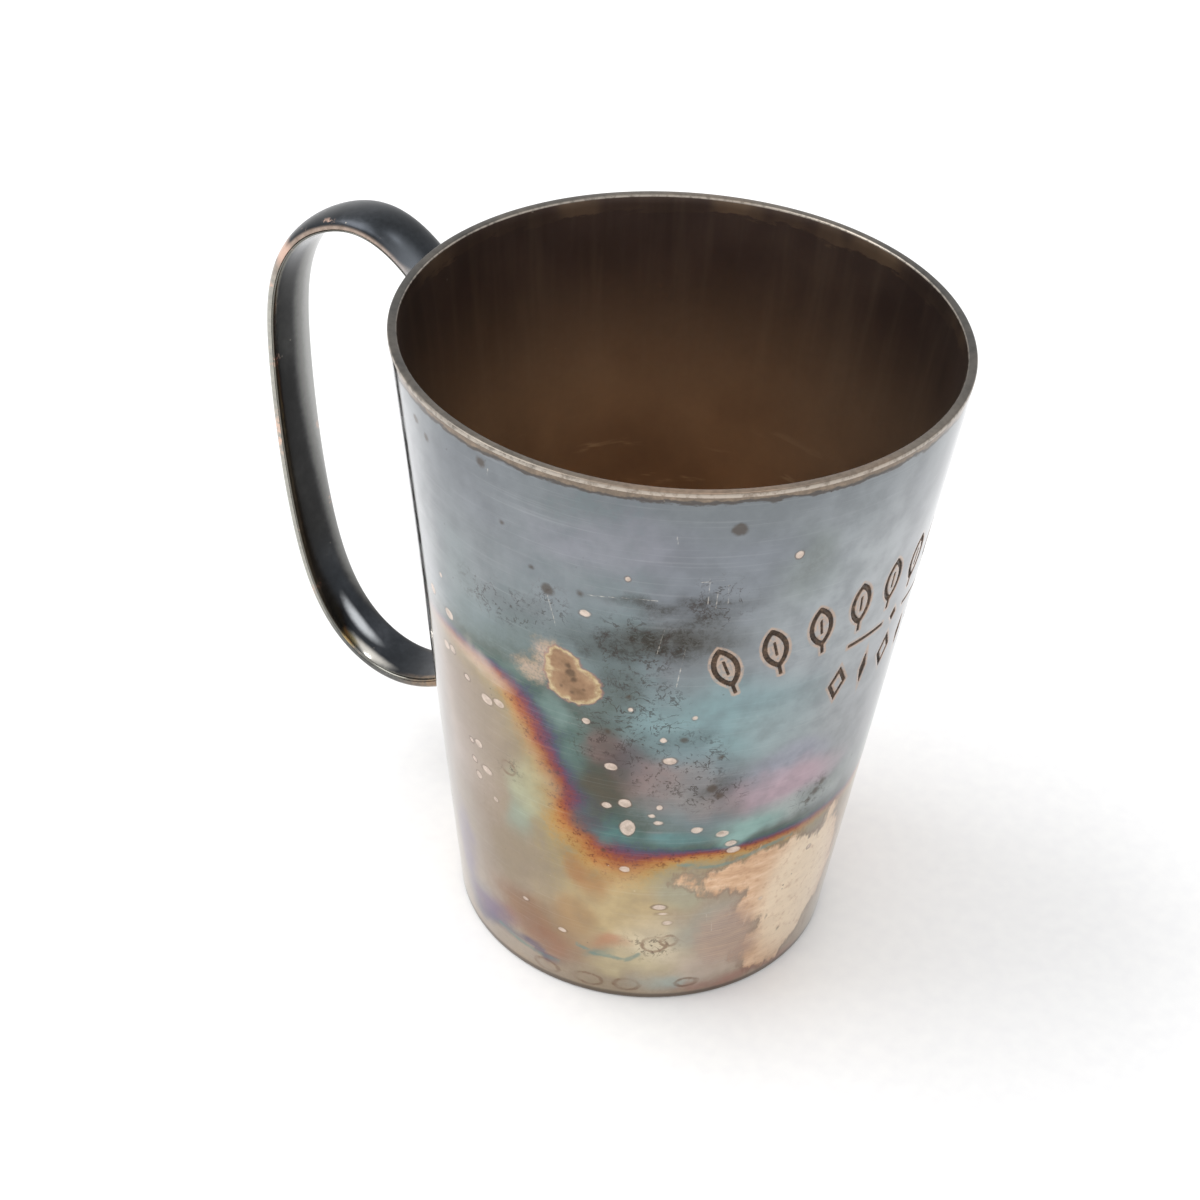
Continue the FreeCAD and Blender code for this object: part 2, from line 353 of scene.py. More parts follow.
# How wide the coloured fringes are along that edge, in millimetres per unit of film
FRINGE_W = [(-180, 1.1), (-120, 0.5), (-104, 0.7), (-90, 1.5), (-78, 2.0), (-66, 2.1), (-58, 1.0),
            (-50, 0.5), (0, 0.5), (40, 1.0), (180, 1.1)]


def edge_distance(az, z):
    """Signed distance in millimetres from the film's edge, above it positive."""
    line = np.array(FILM_EDGE, float)
    fine_az = np.arange(-200.0, 200.0, 0.5)
    fine_z = np.interp((fine_az + 180) % 360 - 180, line[:, 0], line[:, 1])
    scale = math.radians(GIRTH_R)
    x = az * scale
    nearest = np.full(az.shape, 1e9)
    for a, h in zip(fine_az, fine_z):
        np.minimum(nearest, np.hypot(x - a * scale, z - h), out=nearest)
    above = z > np.interp(az, line[:, 0], line[:, 1])
    return np.where(above, nearest, -nearest)


# Film thickness, 0 to 1, against distance from the edge in fringe widths
FILM_STEPS = [
    (-40, 0.05), (-22, 0.09), (-12, 0.14), (-7, 0.20), (-4.2, 0.27), (-2.6, 0.34), (-1.3, 0.41), (-0.4, 0.47),
    (0.3, 0.52), (1.2, 0.57), (3.0, 0.63), (6.5, 0.72), (12, 0.82), (20, 0.90), (45, 1.0),
]


def film_thickness(az, z):
    """Tarnish film on the wall, from bare at 0 to thick at 1."""
    width = np.interp(az, *zip(*FRINGE_W))
    d = edge_distance(az, z) / width
    d = d + 0.5 * rough_noise(az, z, 9.0, 1)
    return np.interp(d, *zip(*FILM_STEPS))


# Soft patches of colour laid over the film:
# azimuth, height, half width and half height in mm, colour, strength
PATCHES = [
    (-44, 86, 11, 26, (148, 154, 156), 0.35),
    (-24, 84, 13, 34, (178, 184, 186), 0.6),
    # The pale patch at azimuth -134 is painted sheen: it lightens the wall towards its left side as seen,
    # where the metal reflects light at a glancing angle.
    (-134, 92, 12, 34, (206, 208, 210), 0.75),
    (-122, 96, 9, 34, (158, 161, 163), 0.45),
    (-2, 74, 12, 46, (172, 175, 178), 0.6),
    (-13, 78, 8, 38, (176, 180, 182), 0.55),
    (-45, 71, 17, 10, (132, 158, 160), 0.8),
    (-52, 103, 16, 10, (130, 135, 141), 0.6),
    (-92, 100, 19, 16, (138, 143, 146), 0.6),
    (-72, 108, 14, 6, (140, 140, 148), 0.5),
    (-108, 88, 8, 10, (142, 152, 152), 0.5),
    (-30, 68, 9, 7, (158, 168, 170), 0.55),
    (-26, 59, 8, 4, (164, 164, 180), 0.5),
    (-26, 53, 12, 4.8, (196, 168, 178), 0.7),
    (-43, 52, 6, 4, (140, 128, 126), 0.55),
    (-20, 46.5, 13, 4.6, (178, 186, 182), 0.7),
    (-34, 44.5, 7, 3.4, (142, 172, 166), 0.95),
    (-54, 43.6, 6, 2.2, (104, 138, 138), 0.85),
    (-68, 44.6, 3.6, 2.6, (94, 134, 128), 0.7),
    (-74, 47, 3, 4, (90, 102, 104), 0.6),
    (-71, 55, 5.2, 8, (92, 86, 74), 0.85),
    (-72, 65, 4.4, 5, (124, 100, 96), 0.65),
    (-66, 62, 3.4, 6, (118, 106, 112), 0.6),
    (-60, 57, 6, 6, (144, 126, 122), 0.7),
    (-50, 56, 6, 6, (148, 142, 138), 0.5),
    (-83, 68.5, 3.6, 3.2, (120, 142, 136), 0.75),
    (-78, 62, 2.4, 6, (98, 120, 114), 0.7),
    (-90, 76, 4, 2.5, (118, 136, 130), 0.6),
    (-106, 72.4, 9, 2.6, (200, 186, 172), 0.6),
    (-32, 104, 5, 7, (132, 142, 136), 0.4),
    (-58, 90, 9, 3.6, (96, 94, 88), 0.6),
    (-124, 50, 12, 24, (184, 170, 160), 0.8),
    (-112, 58, 8, 14, (150, 134, 120), 0.6),
    (-108, 30, 9, 14, (146, 130, 110), 0.6),
    (-100, 57, 7, 12, (158, 144, 126), 0.6),
    (-93, 46, 4, 6, (172, 176, 150), 0.6),
    (-94, 40, 4, 7, (152, 164, 148), 0.7),
    (-90, 50, 4.5, 9, (178, 178, 148), 0.6),
    (-97, 28, 7, 8, (154, 140, 116), 0.6),
    (-133, 40, 7, 42, (150, 146, 142), 0.6),
    (-94, 15, 9, 7, (150, 118, 92), 0.8),
    (-86, 10, 7, 5, (156, 118, 98), 0.7),
    (-105, 10, 5, 3, (150, 112, 108), 0.6),
    (-117, 9, 8, 6, (140, 138, 148), 0.75),
    (-108, 5.5, 8, 1.8, (112, 116, 128), 0.7),
    (-91, 5.6, 6, 1.2, (104, 98, 120), 0.7),
    (-99, 2.5, 12, 2.0, (178, 166, 152), 0.8),
    (-66, 22, 13, 12, (196, 176, 136), 0.8),
    (-52, 14, 10, 9, (216, 204, 178), 0.75),
    (-74, 30, 4, 4, (170, 128, 88), 0.65),
    (-79, 33, 3.4, 4, (164, 122, 86), 0.6),
    (-80, 20, 4, 6, (168, 134, 98), 0.6),
    (-70, 14, 4.5, 1.8, (178, 124, 100), 0.6),
    (-72, 11.4, 3.4, 1.0, (128, 146, 138), 0.7),
    (-50, 30, 5, 5, (172, 170, 148), 0.7),
    (-50, 4, 7, 2.4, (178, 190, 184), 0.7),
    (-62, 9, 8, 3, (190, 176, 142), 0.6),
    (-41, 19, 5, 7, (168, 168, 156), 0.75),
    (-36, 8, 8, 5, (204, 190, 176), 0.75),
    (-122, 24, 10, 22, (170, 160, 152), 0.5),
    (-121, 19, 4, 11, (132, 122, 148), 0.6),
    (-112, 8, 6, 3.6, (126, 106, 132), 0.6),
    (-25, 2.2, 14, 1.8, (176, 136, 124), 0.7),
    (35, 25, 26, 16, (204, 178, 148), 0.6),
    (70, 85, 26, 16, (118, 124, 134), 0.6),
    (95, 30, 20, 12, (176, 158, 126), 0.6),
    (130, 92, 24, 14, (114, 132, 136), 0.6),
    (160, 30, 24, 16, (156, 128, 104), 0.5),
    (180, 68, 13, 58, (64, 65, 69), 0.85),
    (-158, 36, 12, 20, (150, 134, 116), 0.5),
]
# Copper showing where the plate is worn through near the foot: azimuth, height, half sizes in mm
COPPER = [(-17, 26, 9, 11), (-13, 14, 8, 9.5), (-36, 32.6, 8, 3.8), (-26, 31, 8, 6.0), (-27, 24, 4, 7),
          (-4, 22, 7, 14), (-19, 9, 7, 6), (44, 16, 11, 8)]
# Thin tide lines in the film: azimuth and height of their points
TIDE_LINES = [
    [(-52, 37.4), (-47, 36.3), (-42, 35.6), (-35, 36.6), (-28, 37.9), (-20, 38.3)],
    [(-60, 12.5), (-64, 10.5), (-68, 11.2), (-73, 11.0), (-78, 12.4)],
    [(-106, 6.8), (-98, 5.9), (-90, 5.4), (-84, 5.6)],
]


def patch_paint(az, z):
    """Colour and strength of the soft patches, later ones over earlier ones."""
    wander_x = 2.6 * rough_noise(az, z, 11.0, 2)
    wander_y = 2.6 * rough_noise(az, z, 11.0, 3)
    rgb = np.tile(linear((140, 144, 148)), (*az.shape, 1))
    cover = np.zeros(az.shape)
    for az0, z0, rx, ry, tone, strength in PATCHES:
        d = np.hypot((girth(az, az0, z0) + wander_x) / rx, (z - z0 + wander_y) / ry)
        a = strength * (1 - smooth(d, 0.35, 1.35))
        total = a + cover * (1 - a)
        share = np.where(total > 1e-6, a / np.maximum(total, 1e-6), 0)[..., None]
        rgb = rgb * (1 - share) + linear(tone) * share
        cover = total
    return rgb, cover


# Cream spots where the film has lifted: azimuth, height, half width, half height
SPOTS = [
    (-70, 60.3, 1.1, 0.85), (-66.3, 52, 1.1, 1.0), (-70.6, 50.8, 0.9, 0.7), (-65.3, 46, 1.3, 2.0),
    (-58, 51.6, 0.6, 0.6), (-59.7, 49.5, 0.65, 0.5), (-58, 47.8, 0.8, 0.5), (-48.3, 45.8, 1.0, 0.8),
    (-41.5, 44.1, 1.2, 0.8), (-38.8, 41.2, 1.1, 0.7), (-37.8, 39.4, 1.3, 0.8), (-65.4, 35.3, 0.9, 0.75),
    (-58.5, 67.8, 0.6, 0.6), (-56.6, 63, 1.1, 0.8), (-76, 69.7, 0.7, 0.7), (-66, 74.2, 0.5, 0.5),
    (-52, 73.1, 0.45, 0.45), (-55.6, 25.8, 1.2, 0.7), (-54.5, 24, 1.0, 0.35), (-53, 21.5, 0.8, 0.6),
    (-94.5, 18.9, 0.7, 0.4), (-82.5, 14.9, 0.9, 0.6), (-118.5, 68.9, 1.0, 0.9), (-115.5, 69.5, 0.9, 0.8),
    (-123, 78.7, 1.0, 1.0), (-115, 77.5, 1.3, 1.0), (-117, 84.8, 0.5, 0.5), (-110, 66.1, 0.8, 0.6),
    (-103, 64.5, 1.4, 1.0), (-99, 65.5, 1.2, 0.8), (-108, 51.7, 1.0, 0.8), (-111, 51, 0.6, 0.5),
    (-110.6, 46.7, 0.7, 0.6), (-105.5, 46.5, 1.3, 0.8), (-109.2, 43.5, 0.8, 0.8), (-103, 40.6, 0.6, 0.5),
    (-26, 23.3, 0.45, 0.4), (-11, 31, 0.5, 0.5), (-35, 106.3, 0.7, 0.8), (-76.5, 93.3, 1.0, 0.7),
    (-68, 102.2, 0.45, 0.45),
    (62, 66, 1.2, 0.9), (66, 58, 0.8, 0.8), (98, 47, 1.3, 1.0), (104, 52, 0.7, 0.6), (131, 38, 1.0, 0.9),
    (150, 60, 0.9, 0.7), (40, 34, 0.8, 0.7), (-150, 50, 1.2, 0.9), (-163, 62, 0.8, 0.8), (84, 20, 1.0, 0.7),
]
# Rings left by dried drops: azimuth, height, half width, half height
RINGS = [
    (-97.5, 51, 1.5, 1.5), (-63, 3.7, 2.2, 1.5), (-74.5, 3.5, 2.6, 1.5), (-45.4, 4.2, 1.9, 1.1),
    (-56, 15.5, 2.2, 2.0), (-52, 16.5, 1.5, 1.4), (-88, 3.2, 2.4, 1.4),
    (55, 20, 2.0, 1.6), (120, 70, 2.4, 2.1), (160, 12, 2.2, 1.6),
]
# Dark pits: azimuth, height, radius
PITS = [
    (-47.8, 113, 1.2), (-99, 116, 0.9), (-120, 114.5, 0.8), (-116, 113, 0.6), (-77.5, 97.2, 0.6),
    (-94.5, 106, 0.35), (-88, 99.5, 0.45), (-79.6, 79.6, 0.9), (-80.2, 81.0, 0.55), (-78.9, 78.4, 0.55),
    (-76.6, 76.6, 0.25), (-81.8, 76.2, 0.25), (-79.2, 75.4, 0.3), (-45, 63.5, 0.5), (-46, 56, 0.9),
    (-44, 54, 0.7), (-54, 68, 0.6), (-15, 47, 0.8), (-17, 45.4, 0.6), (-13, 48.6, 0.7), (-84.5, 96, 1.1),
    (70, 77, 0.8), (112, 100, 0.6), (-16, 11, 0.3), (-71, 68.4, 0.5), (-66.6, 77, 0.4), (-71, 39.4, 0.4),
]
PIT_SHAPES = [(az, z, r, r) for az, z, r in PITS]
# Scratches: from azimuth and height to azimuth and height
SCRATCHES = [
    (-61.4, 87, -60.2, 92.5), (-56.8, 80, -55.6, 89), (-52.2, 98, -52.4, 104), (-50.6, 97, -50.4, 103),
    (-48.2, 98, -48.6, 102), (-76, 97.3, -70, 98.0), (-69, 98.2, -62, 98.4), (-30.2, 17, -28.6, 24.5),
    (-42.4, 23.0, -41.8, 20.8), (-40.4, 20.5, -40.0, 18), (-84.6, 95, -82.8, 89), (-59.4, 112, -58, 106),
    (-97.2, 115.5, -97.8, 113), (-54, 102.6, -49, 103.0),
    (60, 92, 64, 88), (88, 40, 92, 45), (140, 80, 143, 72),
]
# Where fine dark squiggles gather: azimuth, height, half width, half height
SCRIBBLES = [
    (-96, 89, 8, 3.5), (-84, 92, 2.5, 4), (-64, 72, 8, 10), (-56, 62, 9, 8), (-46, 55, 6, 4), (-50, 98, 5, 5),
    (-57, 15, 4, 3), (-66, 88, 8, 6), (-16, 47, 4, 3), (-97, 51, 2, 2), (-74, 66, 4, 5), (75, 70, 8, 7),
    (150, 60, 8, 8),
]
# Sooty smudges: azimuth, height, half width, half height, density
SMUDGES = [
    (-59, 89, 10, 4.6, 1.0), (-70, 88, 9, 3.6, 0.85), (-54, 93.5, 6, 4.6, 0.65), (-57, 97.5, 12, 1.7, 0.65),
    (-68, 79, 4, 5, 0.45), (-71, 70, 3, 4, 0.35), (-66, 64, 5, 6, 0.4), (-45, 55, 5, 3.5, 0.6),
    (-54, 68, 4, 3, 0.35), (-15, 47, 4, 2.6, 0.45), (-92, 90, 8, 4, 0.25), (-33, 104, 4, 6, 0.25),
    (75, 70, 10, 7, 0.6), (150, 95, 12, 8, 0.5),
]
# How far soot is drawn sideways for each millimetre of height
SMUDGE_LEAN = 0.3
# Where the bare copper is brightest, and the brown stain beside it
GLOW = [(-11, 21, 9, 17)]
BROWN = [(-36, 16, 6.5, 9), (-29, 11, 4, 5)]
# The blister where the plate has lifted: two overlapping lobes and a pale shoulder
BLISTER = [(-79.0, 77.4, 4.8, 4.0), (-81.4, 81.6, 3.0, 3.0)]
SHOULDER = [(-88.5, 77.5, 3.6, 2.6), (-84.5, 82, 3.2, 3.6)]
BLISTER_RISE = 0.10
BLISTER_HOLLOW = 0.07
# Tone of the lip round the mouth, 0 dark grey to 1 bright
LIP_TONE = [(-180, 0.05), (-150, 0.0), (-100, 0.15), (-60, 0.38), (0, 0.2), (30, 0.0), (70, 0.05),
            (110, 0.25), (150, 0.1), (180, 0.05)]


def blob_distance(az, z, blobs):
    """Distance in millimetres to the nearest ellipse outline, below zero inside."""
    nearest = np.full(az.shape, FAR)
    for az0, z0, rx, ry in blobs:
        d = (np.hypot(girth(az, az0, z0) / rx, (z - z0) / ry) - 1) * min(rx, ry)
        nearest = np.minimum(nearest, d)
    return nearest


def ring_distance(az, z):
    """Distance in millimetres to the nearest ring's line."""
    nearest = np.full(az.shape, FAR)
    for ring in RINGS:
        nearest = np.minimum(nearest, np.abs(blob_distance(az, z, [ring])))
    return nearest


def tide_distance(az, z):
    """Distance in millimetres to the nearest tide line."""
    runs = [(*a, *b) for line in TIDE_LINES for a, b in zip(line, line[1:])]
    return scratch_distance(az, z, runs)


def scratch_distance(az, z, runs):
    """Distance in millimetres to the nearest of these straight runs."""
    nearest = np.full(az.shape, FAR)
    for az0, z0, az1, z1 in runs:
        x = girth(az, az0, (z0 + z1) / 2)
        dx = girth(az1, az0, (z0 + z1) / 2)
        dy = z1 - z0
        t = np.clip((x * dx + (z - z0) * dy) / (dx * dx + dy * dy), 0, 1)
        nearest = np.minimum(nearest, np.hypot(x - t * dx, z - z0 - t * dy))
    return nearest


def blister_distance(az, z):
    """Distance to the blister's wandering outline, below zero inside."""
    return blob_distance(az, z, BLISTER) + 0.6 * rough_noise(az, z, 2.4, 7)


def soot(az, z):
    """Density of the soot, 0 to 1."""
    wander_x = 3.5 * rough_noise(az, z, 8.0, 5)
    wander_y = 2.0 * rough_noise(az, z, 6.0, 6)
    total = np.zeros(az.shape)
    for az0, z0, rx, ry, strength in SMUDGES:
        x = girth(az, az0, z0) + wander_x - SMUDGE_LEAN * (z - z0)
        d = np.hypot(x / rx, (z - z0 + wander_y) / ry)
        total = np.maximum(total, strength * (1 - smooth(d, 0.25, 1.4)))
    return total


# ---- meshes ----

def new_piece(name, vertices, faces):
    """Smooth-shaded mesh object from points in millimetres."""
    mesh = bpy.data.meshes.new(name)
    mesh.from_pydata([tuple(v) for v in np.asarray(vertices) * MM], [], faces)
    mesh.validate()
    mesh.update()
    mesh.polygons.foreach_set("use_smooth", [True] * len(mesh.polygons))
    piece = bpy.data.objects.new(name, mesh)
    bpy.context.scene.collection.objects.link(piece)
    return piece


def store(piece, name, values):
    """Keeps a number, or a colour of four, on each vertex."""
    values = np.asarray(values, np.float32)
    kind = "FLOAT" if values.ndim == 1 else "FLOAT_COLOR"
    attribute = piece.data.attributes.new(name, kind, "POINT")
    key = "value" if values.ndim == 1 else "color"
    attribute.data.foreach_set(key, values.ravel())


def store_uv(piece, name, uv):
    """UV map from one pair per vertex; faces across the seam keep to one side of it."""
    layer = piece.data.uv_layers.new(name=name)
    uv = np.asarray(uv, float)
    corners = np.zeros(len(piece.data.loops), np.int32)
    piece.data.loops.foreach_get("vertex_index", corners)
    flat = uv[corners]
    span = uv[:, 0].max() - uv[:, 0].min()
    for face in piece.data.polygons:
        own = slice(face.loop_start, face.loop_start + face.loop_total)
        u = flat[own, 0]
        if u.max() - u.min() > span / 2:
            flat[own, 0] = np.where(u < u.max() - span / 2, u + span, u)
    layer.data.foreach_set("uv", flat.astype(np.float32).ravel())


# Lattice of the outer wall: cells round it, their height, and how many fine cells make one
AZ_STEPS = 360
ROW_STEP = 1.0
FINE = 4
LOW_Z = 0.9
HIGH_Z = CUP_H - 1.1
# Points closer than this to a cut's outline are moved onto it, and the step used for its slope
SNAP_REACH = 0.11
SLOPE_STEP = 0.02
# Width of a cut's sloping side
CUT_SIDE = 0.16
# Heights of the rings of points inside, closer together towards the lip
INSIDE_Z = (118.2, 116.5, 114, 111, 107, 102, 96, 90, 83, 76, 69, 62, 55, 48, 41, 34, 27, 20, 13, 8, 4, 2.6)


def mouth_shape(az, z):
    """The cup is a little out of round towards the mouth and waves slightly."""
    a = np.radians(az - MOUTH_BULGE_DEG)
    lift = (z / CUP_H) ** 2
    return lift * MOUTH_BULGE * np.cos(2 * a) + MOUTH_WAVE * np.sin(5 * a + z / 17) * z / CUP_H


def cup_lattice():
    """Outer wall as cells of one degree and a millimetre, four times finer at cuts and spots.
    Gives the fine lattice points in use and the faces over them."""
    rows = int(round((HIGH_Z - LOW_Z) / ROW_STEP))
    dz = (HIGH_Z - LOW_Z) / rows
    middle_z = LOW_Z + (np.arange(rows) + 0.5) * dz
    az, z = np.meshgrid(np.arange(AZ_STEPS) + 0.5 - 180, middle_z, indexing="ij")
    near = engraving_distance(az, z) < 1.25
    for distance, reach in (
        (blob_distance(az, z, SPOTS), 0.75),
        (blob_distance(az, z, PIT_SHAPES), 0.6),
        (scratch_distance(az, z, SCRATCHES), 0.55),
        (ring_distance(az, z), 0.55),
        (blister_distance(az, z), 0.9),
    ):
        near |= np.abs(distance) < reach
    near[:, 0] = False
    near[:, -1] = False
    index = {}

    def vertex(i, j):
        key = (i % (AZ_STEPS * FINE), j)
        if key not in index:
            index[key] = len(index)
        return index[key]

    faces = []
    for i in range(AZ_STEPS):
        for j in range(rows):
            a, b = i * FINE, j * FINE
            if near[i, j]:
                for p in range(a, a + FINE):
                    for q in range(b, b + FINE):
                        corners = ((p, q), (p + 1, q), (p + 1, q + 1), (p, q + 1))
                        faces.append(tuple(vertex(*corner) for corner in corners))
                continue
            below = j > 0 and near[i, j - 1]
            above = j + 1 < rows and near[i, j + 1]
            before = near[(i - 1) % AZ_STEPS, j]
            after = near[(i + 1) % AZ_STEPS, j]
            ring = [(p, b) for p in range(a, a + FINE, 1 if below else FINE)]
            ring += [(a + FINE, q) for q in range(b, b + FINE, 1 if after else FINE)]
            ring += [(p, b + FINE) for p in range(a + FINE, a, -1 if above else -FINE)]
            ring += [(a, q) for q in range(b + FINE, b, -1 if before else -FINE)]
            faces.append(tuple(vertex(p, q) for p, q in ring))
    lattice = np.array(list(index.keys()), float)
    az = lattice[:, 0] / FINE - 180
    z = LOW_Z + lattice[:, 1] / FINE * dz
    foot_ring = [vertex(i * FINE, 0) for i in range(AZ_STEPS)]
    lip_ring = [vertex(i * FINE, rows * FINE) for i in range(AZ_STEPS)]
    return az, z, faces, foot_ring, lip_ring


def snap_to_cuts(az, z):
    """Moves lattice points beside a cut's outline onto it, so that its edge is clean."""
    distance = engraving_distance(az, z)
    close = np.abs(distance) < SNAP_REACH
    r = wall_radius(z)
    gx = (engraving_distance(az + np.degrees(SLOPE_STEP / r), z) - distance) / SLOPE_STEP
    gz = (engraving_distance(az, z + SLOPE_STEP) - distance) / SLOPE_STEP
    size = np.maximum(np.hypot(gx, gz), 0.5)
    az = np.where(close, az - np.degrees(distance * gx / size ** 2 / r), az)
    z = np.where(close, z - distance * gz / size ** 2, z)
    distance = np.where(close, 0.0, distance)
    return az, z, distance


def lip_profile():
    """Inset and height of points over the lip, from outside to inside."""
    top, r = CUP_H, LIP_ROUND
    points = [(0.0, top - 0.75)]
    for deg in (0, 22, 45, 68, 90):
        a = math.radians(deg)
        points.append((r - r * math.cos(a), top - r + r * math.sin(a)))
    for deg in (90, 68, 45, 22, 0):
        a = math.radians(deg)
        points.append((WALL_T - r + r * math.cos(a), top - r + r * math.sin(a)))
    return points


def foot_profile():
    """Inset and height of points under the foot, from inside to outside."""
    r = FOOT_ROUND
    points = [(WALL_T, 0.9)]
    for deg in (180, 225, 270):
        a = math.radians(deg)
        points.append((WALL_T - r * 0.7 - r * 0.7 * math.cos(a), r * 0.7 + r * 0.7 * math.sin(a)))
    for deg in (270, 292, 315, 338, 360):
        a = math.radians(deg)
        points.append((r - r * math.cos(a), r + r * math.sin(a)))
    return points


def cup_wall():
    """The whole wall as one closed mesh, with the ornament cut into it."""
    az, z, faces, foot_ring, lip_ring = cup_lattice()
    az, z, distance = snap_to_cuts(az, z)
    depth = CUT_DEPTH * np.clip(-distance / CUT_SIDE, 0, 1) * smooth(-distance, -0.2, 0.02)
    lifted = blister_distance(az, z)
    swell = BLISTER_RISE * np.exp(-(np.minimum(lifted + 0.35, 0.9) / 0.45) ** 2)
    swell -= BLISTER_HOLLOW * smooth(-lifted, 0.3, 1.4)
    swell *= smooth(-np.abs(lifted), -4.5, -1.0)
    radius = wall_radius(z) - depth + swell + mouth_shape(az, z)
    zones = [np.zeros(len(az), int)]
    parts = [(az, z, radius)]
    count = len(az)
    ring_az = np.arange(AZ_STEPS) - 180.0

    def band(profile, start, zone):
        """Rings along a profile, joined on from the ring called start."""
        nonlocal count
        last = start
        for inset, height in profile:
            heights = np.full(AZ_STEPS, height)
            rings = wall_radius(heights) - inset + mouth_shape(ring_az, heights)
            parts.append((ring_az, heights, rings))
            zones.append(np.full(AZ_STEPS, zone))
            ring = list(range(count, count + AZ_STEPS))
            count += AZ_STEPS
            join(last, ring)
            last = ring
        return last

    def join(low, high):
        for i in range(AZ_STEPS):
            k = (i + 1) % AZ_STEPS
            faces.append((low[i], low[k], high[k], high[i]))

    last = band(lip_profile(), lip_ring, 1)
    last = band([(WALL_T, h) for h in INSIDE_Z], last, 2)
    last = band(foot_profile(), last, 3)
    join(last, foot_ring)
    az, z, radius = (np.concatenate(column) for column in zip(*parts))
    a = np.radians(az)
    points = np.stack([radius * np.cos(a), radius * np.sin(a), z], -1)
    piece = new_piece("cup_wall", points, faces)
    zone = np.concatenate(zones)
    pad = len(az) - len(distance)
    rgb, cover = patch_paint(az, z)
    fields = {
        "engrave": np.concatenate([distance, np.full(pad, FAR)]),
        "film": film_thickness(az, z),
        "patch": np.concatenate([rgb, cover[:, None]], -1),
        "spot": blob_distance(az, z, SPOTS),
        "drop": ring_distance(az, z),
        "pit": blob_distance(az, z, PIT_SHAPES),
        "scratch": scratch_distance(az, z, SCRATCHES),
        "tide": tide_distance(az, z),
        "copper": blob_distance(az, z, COPPER) + 1.5 * rough_noise(az, z, 7.0, 4),
        "glow": 1 - smooth(blob_distance(az, z, GLOW), -4.0, 5.0),
        "brown": blob_distance(az, z, BROWN),
        "scribble": 1 - smooth(blob_distance(az, z, SCRIBBLES), -2.0, 2.5),
        "lip_tone": np.interp(az, *zip(*LIP_TONE)),
        "blister": blister_distance(az, z),
        "shoulder": blob_distance(az, z, SHOULDER),
        "soot": soot(az, z),
        "height": z,
    }
    for name, values in fields.items():
        store(piece, name, values)
    store_uv(piece, "wall", np.stack([np.radians(az) * GIRTH_R, z], -1))
    # material slots: 0 outside and foot, 1 lip, 2 inside
    highest = np.array([max(zone[v] for v in face.vertices) for face in piece.data.polygons])
    lowest = np.array([min(zone[v] for v in face.vertices) for face in piece.data.polygons])
    slots = np.where(lowest == 0, 0, np.where(highest == 1, 1, 2))
    heights = np.array([face.center.z for face in piece.data.polygons]) / MM
    slots = np.where((highest == 3) | ((lowest == 0) & (heights < 1.0)), 0, slots)
    slots = np.where((highest == 3) & (lowest == 2), 2, slots)
    piece.data.polygons.foreach_set("material_index", slots.astype(np.int32))
    return piece


# ---- handle ----

def spline_points(poles, count):
    """Points on the clamped cubic B-spline of these poles."""
    degree = 3
    spans = len(poles) - degree
    knots = [0.0] * degree + [i / spans for i in range(spans + 1)] + [1.0] * degree
    poles = np.array(poles, float)
    out = []
    for u in np.linspace(0, 1, count):
        k = min(int(u * spans), spans - 1) + degree
        d = [poles[j + k - degree].copy() for j in range(degree + 1)]
        for r in range(1, degree + 1):
            for j in range(degree, r - 1, -1):
                left = knots[j + k - degree]
                right = knots[j + 1 + k - r]
                w = (u - left) / (right - left)
                d[j] = (1 - w) * d[j - 1] + w * d[j]
        out.append(d[degree])
    return np.array(out)


# Sections set along the handle, and how near to the wall the last one may come
HANDLE_STEPS = 150
END_CLEARANCE = 0.25
# How far the handle's ends reach into the wall, and what that adds along the handle
TIP_INSET = 0.7
TIP_STEP = 3


def unit(vectors):
    """Each row made one unit long."""
    return vectors / np.linalg.norm(vectors, axis=1)[:, None]


def handle_rings(section):
    """The section of (width, outward) points wherever it is clear of the wall along the handle,
    and how far along each one is."""
    middle = spline_points(HANDLE_POLES, HANDLE_STEPS)
    along = unit(np.gradient(middle, axis=0))
    outward = np.stack([-along[:, 1], along[:, 0]], -1)
    length = np.concatenate([[0], np.cumsum(np.linalg.norm(np.diff(middle, axis=0), axis=1))])
    rings = []
    places = []
    for m, o, place in zip(middle, outward, length):
        r = m[0] + section[:, 1] * o[0]
        z = m[1] + section[:, 1] * o[1]
        ring = np.stack([-r, section[:, 0], z], -1)
        clear = np.hypot(ring[:, 0], ring[:, 1]) - wall_radius(ring[:, 2])
        if clear.min() > END_CLEARANCE:
            rings.append(ring)
            places.append(place)
    return rings, places


def land(points, directions, inset):
    """Slides points along their directions until they are inset into the wall."""
    points = points.copy()
    for _ in range(12):
        reach = np.hypot(points[:, 0], points[:, 1]) - (wall_radius(points[:, 2]) - inset)
        points += directions * reach[:, None]
    return points


def tube_faces(ring_count, n, closed, flip=False):
    """Quads between rings of n points; closed joins the last ring to the first."""
    faces = []
    for i in range(ring_count if closed else ring_count - 1):
        here = i * n
        there = (i + 1) % ring_count * n
        for j in range(n):
            k = (j + 1) % n
            face = (here + j, here + k, there + k, there + j)
            faces.append(face[:1] + face[:0:-1] if flip else face)
    return faces


